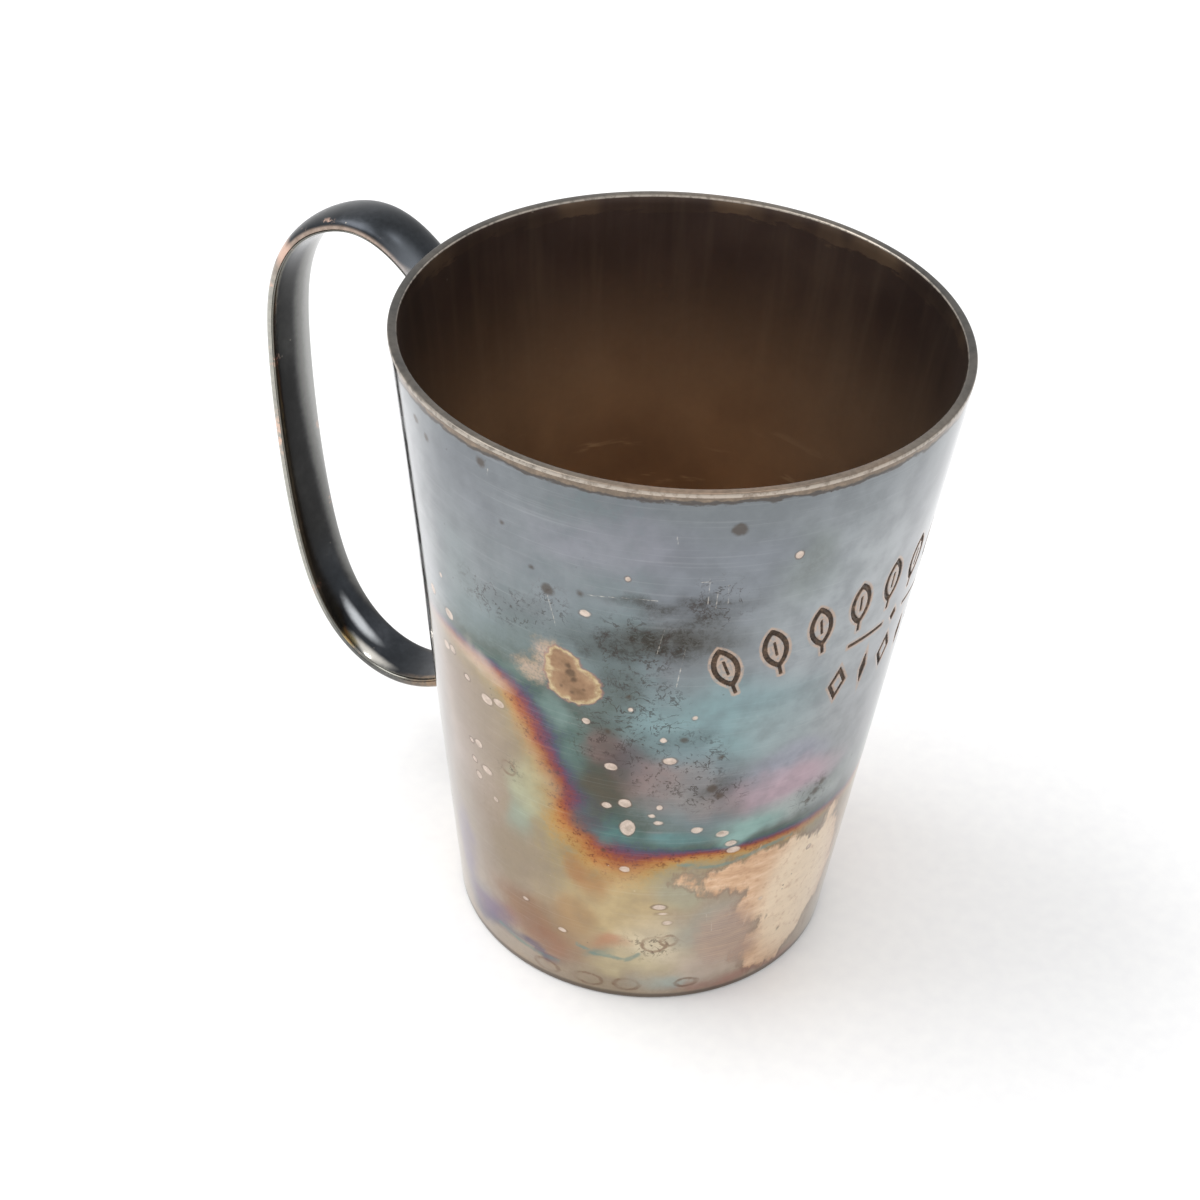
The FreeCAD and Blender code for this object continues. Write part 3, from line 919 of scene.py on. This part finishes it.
def sweep_section(name, section):
    """Closed section of (width, outward) points swept along the handle, both ends in the wall."""
    section = np.array(section, float)
    rings, places = handle_rings(section)
    first = land(rings[0], unit(rings[0] - rings[1]), TIP_INSET)
    last = land(rings[-1], unit(rings[-1] - rings[-2]), TIP_INSET)
    rings = [first, *rings, last]
    places = [places[0] - TIP_STEP, *places, places[-1] + TIP_STEP]
    n = len(section)
    points = np.concatenate(rings)
    faces = tube_faces(len(rings), n, False)
    faces.append(tuple(range(n))[::-1])
    faces.append(tuple(range(len(points) - n, len(points))))
    piece = new_piece(name, points, faces)
    store(piece, "along", np.repeat(places, n))
    store(piece, "across", np.tile(section[:, 0], len(rings)))
    store(piece, "outward", np.tile(section[:, 1], len(rings)))
    return piece


# Heights in the section, across the handle's thickness: finger side, seam and shoulder
FINGER_V = -HANDLE_T / 2
SEAM_V = FINGER_V + STRAP_T
SHOULDER_V = SEAM_V + SHELL_SIDE
CROWN = HANDLE_T - STRAP_T - SHELL_SIDE


def half_ellipse(half_w, base, rise, steps=22):
    """Points from its right foot over the top to its left foot."""
    angles = np.linspace(0, math.pi, steps)
    return [(half_w * math.cos(a), base + rise * math.sin(a)) for a in angles]


def shell_section():
    """C-shaped sheet, its seam edges eased."""
    e = SEAM_EASE
    w = HALF_W
    inner = w - SHELL_SHEET
    outside = [(w - e * 2, SEAM_V), (w - e * 0.6, SEAM_V + e * 0.3), (w, SEAM_V + e)]
    outside += half_ellipse(w, SHOULDER_V, CROWN)
    outside += [(-w, SEAM_V + e), (-w + e * 0.6, SEAM_V + e * 0.3), (-w + e * 2, SEAM_V)]
    hollow = half_ellipse(inner, SHOULDER_V, CROWN - SHELL_SHEET, 12)
    return outside + [(-inner, SEAM_V)] + hollow[::-1] + [(inner, SEAM_V)]


def strap_section():
    """Strap with a crowned finger side that rounds into its edges."""
    e = SEAM_EASE
    w = HALF_W
    top = [(-w + e * 2, SEAM_V), (w - e * 2, SEAM_V)]
    edge = [(w - e * 0.6, SEAM_V - e * 0.3)]
    face = []
    for deg in np.linspace(0, 180, 31):
        a = math.radians(deg)
        face.append((w * math.cos(a), SEAM_V - e - (STRAP_T - e) * math.sin(a) ** 0.8))
    return top + edge + face + [(-x, v) for x, v in edge]


def handle_outline():
    """Outside of shell and strap together."""
    points = half_ellipse(HALF_W, SHOULDER_V, CROWN, 25)
    low = FINGER_V + 0.2
    points += [(-HALF_W, low)]
    points += [(x, FINGER_V) for x in np.linspace(-HALF_W + 0.8, HALF_W - 0.8, 9)]
    return points + [(HALF_W, low)]


# Rings of a solder fillet: how far up the handle and how far out from it
FILLET_RINGS = ((1.35, 0.0), (0.85, 0.10), (0.48, 0.28), (0.2, 0.6), (0.03, 1.15), (-0.35, 1.2))
FILLET_TOP = FILLET_RINGS[0][0]


def solder_fillet(name, at_start):
    """Concave fillet of solder round one end of the handle."""
    section = np.array(handle_outline())
    clear, _ = handle_rings(section)
    near, other = (clear[0], clear[1]) if at_start else (clear[-1], clear[-2])
    direction = unit(near - other)
    on_handle = land(near, direction, 0.0)
    centre = on_handle.mean(0)
    rings = []
    for up, out in FILLET_RINGS:
        ring = on_handle - direction * up + unit(on_handle - centre) * out
        target = wall_radius(ring[:, 2]) + up * 0.8
        r = np.hypot(ring[:, 0], ring[:, 1])
        if out > 0.2:
            ring[:, :2] *= (target / r)[:, None]
        rings.append(ring)
    rings.append(land(near, direction, 0.5))
    rings.append(on_handle - direction * FILLET_TOP + (centre - on_handle) * 0.04)
    return new_piece(name, np.concatenate(rings), tube_faces(len(rings), len(section), True))


# ---- base ----

TURN_STEPS = 180
# The gap that keeps the disc clear of the wall, and the least radius of a ring of points
DISC_GAP = 0.02
SOLDER_LEG = 1.3


def revolved(name, profile):
    """Closed profile of (radius, height) points turned about the axis."""
    points = []
    for i in range(TURN_STEPS):
        a = 2 * math.pi * i / TURN_STEPS
        points += [(r * math.cos(a), r * math.sin(a), z) for r, z in profile]
    return new_piece(name, points, tube_faces(TURN_STEPS, len(profile), True, True))


def base_plate():
    """Base disc with faint turning steps on top and a plain underside."""
    low, high = DISC_LOW.z, DISC_HIGH.z
    rim = wall_radius(high) - WALL_T - DISC_GAP
    profile = [(DISC_GAP, low), (wall_radius(low) - WALL_T - DISC_GAP, low), (rim, high)]
    for k, r in enumerate(np.linspace(rim - 0.6, DISC_GAP, 44)):
        profile.append((r, high - 0.05 - 0.04 * math.sin(k * 2.1) - 0.03 * math.sin(k * 0.7)))
    return revolved("base_plate", profile)


def base_solder():
    """Ring of solder with a concave face in the corner under the base."""
    z = DISC_LOW.z
    leg = SOLDER_LEG
    wall = wall_radius(z) - WALL_T
    profile = [(wall + 0.01, z + 0.01), (wall_radius(z - leg) - WALL_T + 0.01, z - leg)]
    for deg in (15, 35, 55, 75, 90):
        a = math.radians(deg)
        profile.append((wall - leg + leg * math.cos(a) * 0.93, z - leg + leg * math.sin(a) * 0.97))
    return revolved("base_solder", profile)


# ---- materials ----

# Interference colours of the tarnish film, thin to thick
FILM_COLOURS = [
    (0.00, 194, 178, 160), (0.08, 172, 157, 138), (0.15, 162, 148, 126), (0.22, 166, 150, 114),
    (0.28, 184, 146, 90), (0.34, 180, 124, 74), (0.40, 158, 92, 62), (0.45, 134, 76, 78),
    (0.50, 106, 78, 98), (0.55, 84, 90, 104), (0.60, 86, 104, 98), (0.66, 98, 108, 102),
    (0.74, 112, 124, 122), (0.84, 119, 131, 133), (0.92, 119, 124, 127), (1.00, 122, 127, 130),
]


def lay_film(g, broad):
    """The film's colours with a peppered fringe, the soft patches and faint mottling."""
    film = g.plus(g.plus(g.field("film"), g.about(g.medium, 0.13)), g.crumb)
    g.base = g.ramp(film, *FILM_COLOURS)
    fringe = g.times(g.step(film, 0.24, 0.34), g.step(film, 0.62, 0.52))
    g.lay(g.times(fringe, g.step(g.grain, 0.53, 0.6, 0.0, 0.55)), (92, 58, 50))
    patch, cover = g.paint("patch")
    ragged = g.step(g.plus(g.medium, g.crumb), 0.25, 0.62, 0.8, 1.1)
    g.lay(g.math("MULTIPLY", cover, ragged, True), patch)
    for cloud, low, high, start, end, tone, blend in (
        (broad, 0.35, 0.7, 0.0, 0.16, (150, 138, 158), "SOFT_LIGHT"),
        (g.medium, 0.30, 0.72, 0.15, 0.0, (94, 92, 92), "MULTIPLY"),
        (g.brushed, 0.52, 0.75, 0.0, 0.09, (205, 205, 205), "SCREEN"),
        (g.rubbed, 0.60, 0.78, 0.0, 0.10, (225, 215, 205), "SCREEN"),
    ):
        g.lay(g.step(cloud, low, high, start, end), tone, 1.0, blend)


def lay_soot(g):
    """Soot in cloudy specks; gives back how dense it is."""
    specks = g.step(g.plus(g.times(g.fine, 0.7), g.times(g.grit, 0.45)), 0.52, 0.64)
    veil = g.math("MULTIPLY", g.field("soot"), g.step(g.medium, 0.2, 0.62, 0.5, 1.2), True)
    veil = g.times(veil, g.step(specks, 0.0, 1.0, 0.7, 1.0))
    g.lay(veil, (58, 55, 49), 0.92)
    return veil


def lay_scribbles(g):
    """Fine dark squiggles, along the level lines of a noise, and the crumbs between them."""
    scribble = g.field("scribble")
    curl = g.noise(3.4, 4, 0.6, 10.0, twist=0.8)
    thread = g.step(g.math("ABSOLUTE", g.math("SUBTRACT", curl, 0.5)), 0.022, 0.008)
    thread = g.times(thread, g.step(g.noise(2.2, 2, 0.5, 16.0), 0.44, 0.54), scribble)
    crumbs = g.times(g.step(g.grain, 0.545, 0.60), scribble, g.step(g.medium, 0.40, 0.56))
    g.lay(g.math("MAXIMUM", thread, crumbs), (66, 58, 54), 0.66)


def lay_copper(g):
    """Copper worn through near the foot, streaked by polishing, and the film's tide lines."""
    peel = g.plus(g.field("copper"), g.about(g.fine, 3.2))
    peel = g.plus(peel, g.about(g.noise((2.4, 7, 1), 4, 0.6, 18.0, "wall", 0.7), 7.0))
    nap = g.noise((7, 2.2, 1), 4, 0.6, 17.0, "wall", 0.9)
    bare = g.ramp(nap, (0.28, 188, 148, 116), (0.5, 220, 182, 148), (0.72, 246, 216, 186))
    bare = g.mix(g.step(g.field("glow"), 0.0, 1.0, 0.0, 0.72), bare, (255, 240, 214))
    bare = g.mix(g.step(g.fine, 0.5, 0.3, 0.0, 0.4), bare, (180, 134, 104))
    bare = g.mix(g.step(g.brushed, 0.55, 0.8, 0.0, 0.4), bare, (255, 232, 206))
    g.lay(g.step(peel, 1.5, 0.4, 0.0, 0.35), (126, 92, 78))
    g.lay(g.step(peel, 0.6, -0.9, 0.0, 0.88), bare)
    brown = g.step(g.plus(g.field("brown"), g.about(g.fine, 3.0)), 1.0, -3.0)
    g.lay(brown, g.ramp(g.rubbed, (0.35, 160, 140, 134), (0.7, 204, 176, 152)), 0.75)
    tide = g.plus(g.field("tide"), g.about(g.fine, 0.9))
    g.lay(g.step(tide, 0.75, 0.2, 0.0, 0.6), (112, 140, 136))


def lay_blister(g):
    """The blister: fuzzy pale shoulder, pinkish then cream margin, brown floor."""
    shoulder = g.plus(g.field("shoulder"), g.times(g.wobble, 3.4))
    fuzz = g.times(g.step(shoulder, 1.0, -1.6), g.step(g.grit, 0.3, 0.6, 0.35, 0.8))
    g.lay(fuzz, g.ramp(g.medium, (0.35, 172, 152, 128), (0.65, 196, 170, 152)))
    lifted = g.plus(g.field("blister"), g.times(g.wobble, 0.9))
    g.lay(g.step(lifted, 0.62, 0.2, 0.0, 0.55), (152, 108, 100))
    g.lay(g.step(lifted, 0.3, -0.1), g.ramp(g.fine, (0.35, 160, 136, 104), (0.6, 200, 182, 146)))
    floor = g.ramp(g.medium, (0.3, 104, 80, 62), (0.5, 146, 116, 92), (0.7, 172, 142, 112))
    g.lay(g.step(lifted, -0.05, -1.0, 0.0, 0.94), floor)


def lay_marks(g):
    """Broken rings left by drops, cream spots with a partly dark edge, dark pits and bright
    scratches; gives back the cover of the spots."""
    drop = g.plus(g.field("drop"), g.times(g.wobble, 0.8))
    broken = g.step(g.medium, 0.36, 0.6, 0.15, 0.75)
    g.lay(g.times(g.step(drop, 0.45, 0.05), broken), (128, 102, 84))
    spot = g.plus(g.field("spot"), g.times(g.wobble, 0.55))
    outline = g.step(g.medium, 0.42, 0.6, 0.12, 0.6)
    g.lay(g.times(g.step(spot, 0.34, 0.06), outline), (104, 88, 78))
    spotted = g.step(spot, 0.08, -0.16)
    g.lay(spotted, g.ramp(g.fine, (0.32, 184, 166, 152), (0.6, 224, 206, 192)), 0.82)
    pit = g.plus(g.field("pit"), g.times(g.wobble, 0.9))
    g.lay(g.step(pit, 0.4, -0.4, 0.0, 0.7), (78, 66, 56))
    line = g.plus(g.field("scratch"), g.times(g.grit, 0.26))
    g.lay(g.times(g.step(line, 0.27, 0.12), g.step(g.medium, 0.40, 0.54)), (222, 214, 202), 0.5)
    return spotted


def lay_edges(g):
    """Ragged brassy band under the lip with a thin dark line below it, and painted shade along the foot."""
    height = g.field("height")
    band = g.plus(height, g.about(g.noise((5, 5, 2.5), 5, 0.62, 9.0), 3.2))
    g.lay(g.step(band, CUP_H - 2.3, CUP_H - 1.9, 0.0, 0.8), (80, 72, 66))
    brass = g.ramp(g.fine, (0.3, 110, 100, 90), (0.5, 130, 116, 102), (0.72, 156, 138, 120))
    g.lay(g.step(band, CUP_H - 1.7, CUP_H - 1.3, 0.0, 0.85), brass)
    # Painted shade: the wall darkened below about 1.7 mm, where it reflects the shadow on the table round its
    # foot.
    g.lay(g.step(g.plus(height, g.times(g.wobble, 0.4)), 1.7, 0.9, 0.0, 0.7), (92, 82, 76))


def lay_engraving(g):
    """Pink-cream halo and dark floor of the engraving; gives back the cover of the floor."""
    cut = g.field("engrave")
    halo = g.plus(cut, g.times(g.wobble, 0.55))
    crust = g.times(g.step(halo, 0.62, 0.3), g.step(g.fine, 0.36, 0.56, 0.25, 0.8))
    g.lay(crust, (184, 160, 142))
    in_cut = g.step(cut, 0.05, -0.1)
    g.lay(in_cut, g.ramp(g.grain, (0.4, 44, 36, 30), (0.56, 84, 68, 56), (0.68, 140, 116, 98)), 0.95)
    return in_cut


def tarnished_wall():
    """Silver plate under a film that runs from straw through purple to blue-grey, with all the
    marks on it. The noises that the layers share are kept on the graph."""
    g = Graph("tarnished_plate_wall")
    g.fine = g.noise(1.3, 5, 0.62, 1.0)
    g.medium = g.noise(4.5, 4, 0.55, 2.0)
    broad = g.noise(16, 3, 0.5, 3.0)
    g.grit = g.noise(0.45, 3, 0.6, 4.0)
    g.brushed = g.noise((26, 0.5, 1), 3, 0.6, 5.0, "wall")
    g.rubbed = g.noise((9, 0.22, 1), 3, 0.6, 6.0, "wall", 0.5)
    g.grain = g.plus(g.times(g.fine, 0.6), g.times(g.grit, 0.4))
    g.crumb = g.about(g.grain, 0.22)
    g.wobble = g.about(g.fine, 1.3)
    lay_film(g, broad)
    veil = lay_soot(g)
    lay_scribbles(g)
    lay_copper(g)
    g.scatter(2.6, (0.09, 0.05), 7, 7.0, (0.55, 0.66), (66, 58, 54), 0.65)
    g.scatter(3.7, (0.06, 0.03), 11, 8.0, (0.58, 0.66), (222, 208, 190), 0.7)
    lay_blister(g)
    spotted = lay_marks(g)
    lay_edges(g)
    in_cut = lay_engraving(g)
    rough = g.plus(g.step(g.medium, 0.25, 0.75, 0.07, 0.15), g.times(veil, 0.2))
    rough = g.plus(rough, g.times(spotted, 0.16))
    rough = g.math("ADD", rough, g.times(in_cut, 0.3), True)
    brush = g.plus(g.brushed, g.times(g.grit, 0.4))
    return g.metal(rough, g.bump(brush, 0.09, 0.012, g.bump(broad, 0.12, 0.3)))


def inside_plate():
    """Browned inside of the cup, painted paler deep down and darker up the wall as light and shade,
    with upright wipes, pale arcs of painted reflection, specks, and a ragged paler band at the rim."""
    g = Graph("browned_inside")
    height = g.field("height")
    fine = g.noise(1.4, 5, 0.6, 11.0)
    broad = g.noise((22, 22, 30), 3, 0.55, 12.0)
    wipes = g.noise((5, 60, 1), 3, 0.6, 13.0, "wall")
    # Paler deep down and darker towards the lip: painted light and shade of the reflections inside the cup.
    deep = g.ramp(broad, (0.3, 184, 164, 144), (0.5, 202, 180, 156), (0.72, 218, 194, 166))
    high = g.ramp(broad, (0.3, 92, 82, 79), (0.5, 106, 92, 88), (0.72, 122, 106, 96))
    level = g.plus(height, g.times(broad, 16.0))
    g.base = g.mix(g.step(level, 84.0, 120.0), deep, high)
    g.lay(g.step(fine, 0.3, 0.7, 0.05, 0.0), (140, 128, 118), 1.0, "MULTIPLY")
    g.lay(g.step(wipes, 0.45, 0.7, 0.0, 0.1), (208, 190, 166))
    # Pale arcs low in the cup: painted reflections.
    broken = g.step(g.noise((16, 3, 1), 3, 0.6, 19.0, "wall"), 0.5, 0.6)
    wave = g.math("SINE", g.times(g.plus(height, g.about(broad, 9.0)), 0.45))
    arcs = g.step(g.math("ABSOLUTE", wave), 0.55, 0.1)
    g.lay(g.times(arcs, broken, g.step(level, 90.0, 74.0)), (255, 240, 214), 0.75)
    band = g.plus(height, g.about(g.noise((7, 7, 2), 5, 0.65, 14.0), 7.0))
    patchy = g.step(broad, 0.45, 0.62, 0.05, 0.45)
    g.lay(g.times(g.step(band, CUP_H - 3.2, CUP_H - 2.6), patchy), (196, 170, 138))
    g.scatter(5.5, (0.05, 0.03), 14, 15.0, (0.52, 0.68), (236, 226, 210), 0.6)
    return g.metal(g.step(broad, 0.25, 0.75, 0.29, 0.36), None, 0.94)


def lip_plate():
    """Lip grey on its flat, its rounded edges painted pale, partly as wear to brass and partly as a painted
    highlight.
    """
    g = Graph("worn_lip")
    fine = g.noise(1.1, 4, 0.6, 21.0)
    tone = g.math("ADD", g.field("lip_tone"), g.about(g.noise(9, 3, 0.55, 22.0), 0.35), True)
    g.base = g.ramp(tone, (0.0, 84, 82, 79), (0.2, 118, 111, 103), (0.38, 146, 127, 110),
                    (0.55, 162, 148, 136), (1.0, 206, 208, 204))
    g.lay(g.step(fine, 0.35, 0.6, 0.25, 0.0), (110, 100, 92), 1.0, "MULTIPLY")
    # Pale rounded edges: partly wear, partly painted highlight.
    edge = g.step(g.field("height"), CUP_H - 0.06, CUP_H - 0.2)
    g.lay(g.times(edge, g.step(fine, 0.35, 0.55, 0.2, 0.65)), (200, 190, 178))
    return g.metal(g.step(fine, 0.3, 0.7, 0.28, 0.38), g.bump(fine, 0.15))


def wear_and_highlight_patch(g, along, across, half_along, half_across, soft=0.6):
    """Soft patch on the handle, 1 in its middle, for worn spots and painted highlights."""
    u = g.math("DIVIDE", g.math("SUBTRACT", g.along, along), half_along)
    v = g.math("DIVIDE", g.math("SUBTRACT", g.across, across), half_across)
    reach = g.math("SQRT", g.plus(g.times(u, u), g.times(v, v)))
    return g.step(g.plus(reach, g.times(g.ragged, 0.5)), 1.0 + soft, 1.0 - soft)


def lay_strap_wear_and_highlights(g):
    """Grey on the strap's far side, partly rub and partly painted reflection, its worn near edge and painted
    highlights on its bend.
    """
    # Grey rising to pale towards the far side: partly rub, partly painted reflection.
    reach = g.plus(g.step(g.along, 66, 110, -1.0, 1.6), g.step(g.along, 110, 132, 0.0, 2.6))
    depth = g.math("SUBTRACT", g.plus(g.across, g.times(g.ragged, 1.2)), reach)
    grey = g.ramp(g.step(depth, 0.0, 5.4), (0.0, 52, 52, 53), (0.3, 100, 100, 98),
                  (0.7, 128, 128, 126), (1.0, 160, 160, 158))
    g.lay(g.step(depth, -0.4, 1.6), grey)
    near = g.step(g.plus(g.across, g.ragged), -HALF_W + 1.0, -HALF_W + 0.3)
    g.lay(near, (128, 127, 120), 0.7)
    # Painted highlights on the bend: two pale glints, and a brassy tint at the end of the second.
    for patch, tone, share in (
        ((124.5, -0.4, 5.0, 1.0, 0.7), (214, 218, 222), 0.85),
        ((131, -3.9, 5.0, 0.9, 0.7), (226, 222, 214), 0.85),
        ((126, -4.6, 2.0, 0.8), (206, 182, 128), 0.8),
    ):
        g.lay(wear_and_highlight_patch(g, *patch), tone, share)


def lay_shell_wear_and_sheen(g, arch):
    """The shell's pale band up from its seam, brassy wear over the arch and grey down the upright part,
    partly painted reflection; a painted highlight on its flank and two knocks.
    """
    # Pale band up from the seam: brassy wear over the arch; down the upright part grey, partly wear and
    # partly painted reflection.
    pale = g.ramp(g.fine, (0.3, 156, 156, 150), (0.7, 190, 187, 177))
    pale = g.mix(arch, pale, g.ramp(g.fine, (0.3, 136, 120, 108), (0.65, 184, 164, 150)))
    reach = g.math("SUBTRACT", SHOULDER_V + 1.8, g.times(arch, 1.6))
    level = g.math("SUBTRACT", g.plus(g.field("outward"), g.times(g.ragged, 0.35)), reach)
    g.lay(g.times(g.step(level, 0.3, -0.3), g.step(g.along, 112, 128, 0.85, 0.25)), pale)
    # Painted highlight on the shell's near flank by the upper joint.
    flank_highlight = g.times(g.step(g.across, -0.5, -4.0), g.step(g.along, 16, 3))
    g.lay(flank_highlight, (150, 156, 164), 0.6)
    g.lay(wear_and_highlight_patch(g, 39, -5.0, 2.4, 1.6), (206, 176, 160))
    g.lay(g.times(wear_and_highlight_patch(g, 79, -5.0, 4.0, 1.6), g.step(g.fine, 0.42, 0.56)), (214, 184, 166))


def handle_material(name, is_strap):
    """Blackened plate polished by the hand, worn to brass along its edges and at knocks, with painted
    highlights and painted reflection in its colour.
    """
    g = Graph(name)
    g.fine = g.noise(1.1, 5, 0.65, 31.0)
    g.across = g.field("across")
    g.along = g.field("along")
    g.ragged = g.about(g.fine, 0.9)
    broad = g.noise(12, 4, 0.55, 32.0)
    edge = g.plus(g.math("ABSOLUTE", g.across), g.ragged)
    cool = g.ramp(broad, (0.3, 44, 46, 49), (0.52, 54, 57, 61), (0.72, 76, 79, 84))
    plain = g.ramp(broad, (0.3, 36, 36, 36), (0.52, 44, 44, 44), (0.72, 60, 60, 59))
    g.base = g.mix(g.times(g.step(g.along, 38, 48), g.step(g.along, 118, 100)), cool, plain)
    g.lay(g.step(g.fine, 0.3, 0.7, 0.25, 0.0), (110, 104, 100), 1.0, "MULTIPLY")
    rough = g.step(g.fine, 0.25, 0.75, 0.12, 0.2)
    if is_strap:
        lay_strap_wear_and_highlights(g)
    else:
        arch = g.times(g.step(g.along, 2, 10), g.step(g.along, 50, 38))
        lay_shell_wear_and_sheen(g, arch)
        rough = g.plus(rough, g.times(arch, 0.16))
    knock = g.step(g.noise(6, 5, 0.7, 33.0), 0.60, 0.66)
    g.lay(g.times(knock, g.step(edge, HALF_W - 1.6, HALF_W - 0.5)), (206, 174, 158), 0.8)
    brown = g.times(g.step(g.along, 138, 150), g.step(edge, HALF_W - 1.8, HALF_W - 0.6))
    g.lay(g.times(brown, g.step(g.fine, 0.35, 0.6, 0.3, 0.85)), (156, 132, 108))
    dust = g.times(g.step(g.cells(3), 0.08, 0.04), g.step(broad, 0.5, 0.6))
    g.lay(dust, (170, 162, 150), 0.5)
    return g.metal(rough, g.bump(g.fine, 0.12))


def solder_material(name):
    """Dull, lumpy hard solder."""
    g = Graph(name)
    fine = g.noise(0.8, 4, 0.6, 41.0)
    lumps = g.noise(2.6, 3, 0.5, 42.0)
    g.base = g.ramp(fine, (0.3, 96, 84, 74), (0.55, 132, 118, 100), (0.75, 168, 148, 122))
    normal = g.bump(lumps, 0.6, 0.12, g.bump(fine, 0.4, 0.04))
    return g.metal(g.step(fine, 0.25, 0.75, 0.32, 0.5), normal)


def base_material():
    """Browned disc with turning rings and stains."""
    g = Graph("browned_base")
    where = g.add("ShaderNodeTexCoord").outputs["Object"]
    flat = {0: where, 1: (1 / MM, 1 / MM, 0)}
    flat = g.add("ShaderNodeVectorMath", flat, operation="MULTIPLY").outputs[0]
    radius = g.add("ShaderNodeVectorMath", {0: flat}, operation="LENGTH").outputs["Value"]
    fine = g.noise(1.5, 5, 0.6, 51.0)
    broad = g.noise(15, 4, 0.55, 52.0)
    wander = g.times(g.plus(radius, g.times(fine, 0.5)), 1.1)
    rings = {"W": wander, "Scale": 1.0, "Detail": 3.0}
    rings = g.add("ShaderNodeTexNoise", rings, noise_dimensions="1D").outputs["Fac"]
    g.base = g.ramp(broad, (0.3, 206, 172, 138), (0.55, 226, 190, 150), (0.75, 238, 206, 168))
    g.lay(g.step(rings, 0.42, 0.62, 0.0, 0.5), (240, 210, 170))
    g.lay(g.step(fine, 0.3, 0.6, 0.35, 0.0), (96, 80, 68), 1.0, "MULTIPLY")
    return g.metal(g.step(fine, 0.25, 0.75, 0.38, 0.52), g.bump(rings, 0.5, 0.05))


def table_material():
    """Plain pale paper."""
    g = Graph("pale_table")
    g.base = g.ramp(g.noise(3, 3, 0.5, 61.0), (0.3, 243, 243, 244), (0.7, 247, 247, 247))
    return g.metal(0.85, None, 0.0)


def finish_piece(piece, node, slot_name, *materials):
    """Puts the materials on a new piece, ties it to the cup and lets it stand for its node."""
    for material in materials:
        piece.data.materials.append(material)
    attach(piece, "root")
    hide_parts(node)


# ---- surroundings ----

# The view: place in millimetres, turns in degrees, lens and sensor in millimetres
CAMERA_PLACE = (156.96, -285.51, 312.17)
CAMERA_HEADING_DEG = 30.715
CAMERA_TILT_DEG = 52.649
CAMERA_ROLL_DEG = 3.234
CAMERA_LENS = 69.67
SENSOR_W = 36.0
TABLE_R = 3000.0
TABLE_STEPS = 96


def add_camera():
    data = bpy.data.cameras.new("camera")
    data.lens = CAMERA_LENS
    data.sensor_width = SENSOR_W
    data.clip_start = 0.01
    camera = bpy.data.objects.new("camera", data)
    turn = Matrix.Rotation(math.radians(CAMERA_HEADING_DEG), 4, "Z")
    turn = turn @ Matrix.Rotation(math.radians(CAMERA_TILT_DEG), 4, "X")
    turn = turn @ Matrix.Rotation(math.radians(CAMERA_ROLL_DEG), 4, "Z")
    camera.matrix_world = Matrix.Translation(Vector(CAMERA_PLACE) * MM) @ turn
    bpy.context.scene.collection.objects.link(camera)
    bpy.context.scene.camera = camera


def add_area_light(name, place, size, power):
    """Soft square light aimed at the middle of the cup."""
    data = bpy.data.lights.new(name, "AREA")
    data.shape = "SQUARE"
    data.size = size
    data.energy = power
    light = bpy.data.objects.new(name, data)
    aim = Vector((0, 0, CUP_H / 2 * MM)) - Vector(place)
    light.rotation_euler = aim.to_track_quat("-Z", "Y").to_euler()
    light.location = place
    bpy.context.scene.collection.objects.link(light)


def add_world(strength):
    world = bpy.data.worlds.new("studio")
    world.use_nodes = True
    shade = world.node_tree.nodes["Background"]
    shade.inputs["Color"].default_value = (1.0, 1.0, 1.0, 1.0)
    shade.inputs["Strength"].default_value = strength
    bpy.context.scene.world = world


def add_table():
    """Large pale disc under the cup."""
    angles = [2 * math.pi * i / TABLE_STEPS for i in range(TABLE_STEPS)]
    ring = [(TABLE_R * math.cos(a), TABLE_R * math.sin(a), 0) for a in angles]
    table = new_piece("table", ring, [tuple(range(TABLE_STEPS))])
    table.data.materials.append(table_material())


def main():
    bpy.context.scene.view_settings.view_transform = "Standard"
    add_camera()
    add_world(1.0)
    add_area_light("key", (-0.55, -0.25, 0.9), 0.7, 6.0)
    add_area_light("overhead", (0.05, 0.25, 0.95), 0.12, 0.45)
    add_table()
    finish_piece(cup_wall(), "body_wall", "tarnished_plate", tarnished_wall(), lip_plate(), inside_plate())
    finish_piece(base_plate(), "base_disc", "tarnished_plate_base", base_material())
    finish_piece(base_solder(), "base_solder_ring", "solder", solder_material("base_solder_metal"))
    shell = sweep_section("handle_shell", shell_section())
    shell_metal = handle_material("handle_shell_plate", False)
    finish_piece(shell, "handle_outer_shell", "handle_plate", shell_metal)
    strap = sweep_section("handle_strap", strap_section())
    strap_metal = handle_material("handle_strap_plate", True)
    finish_piece(strap, "handle_inner_strap", "handle_strap_plate", strap_metal)
    joint_metal = solder_material("handle_solder_metal")
    for name, node, at_start in (
        ("upper_solder", "handle_upper_solder", True),
        ("lower_solder", "handle_lower_solder", False),
    ):
        finish_piece(solder_fillet(name, at_start), node, "handle_solder", joint_metal)


main()
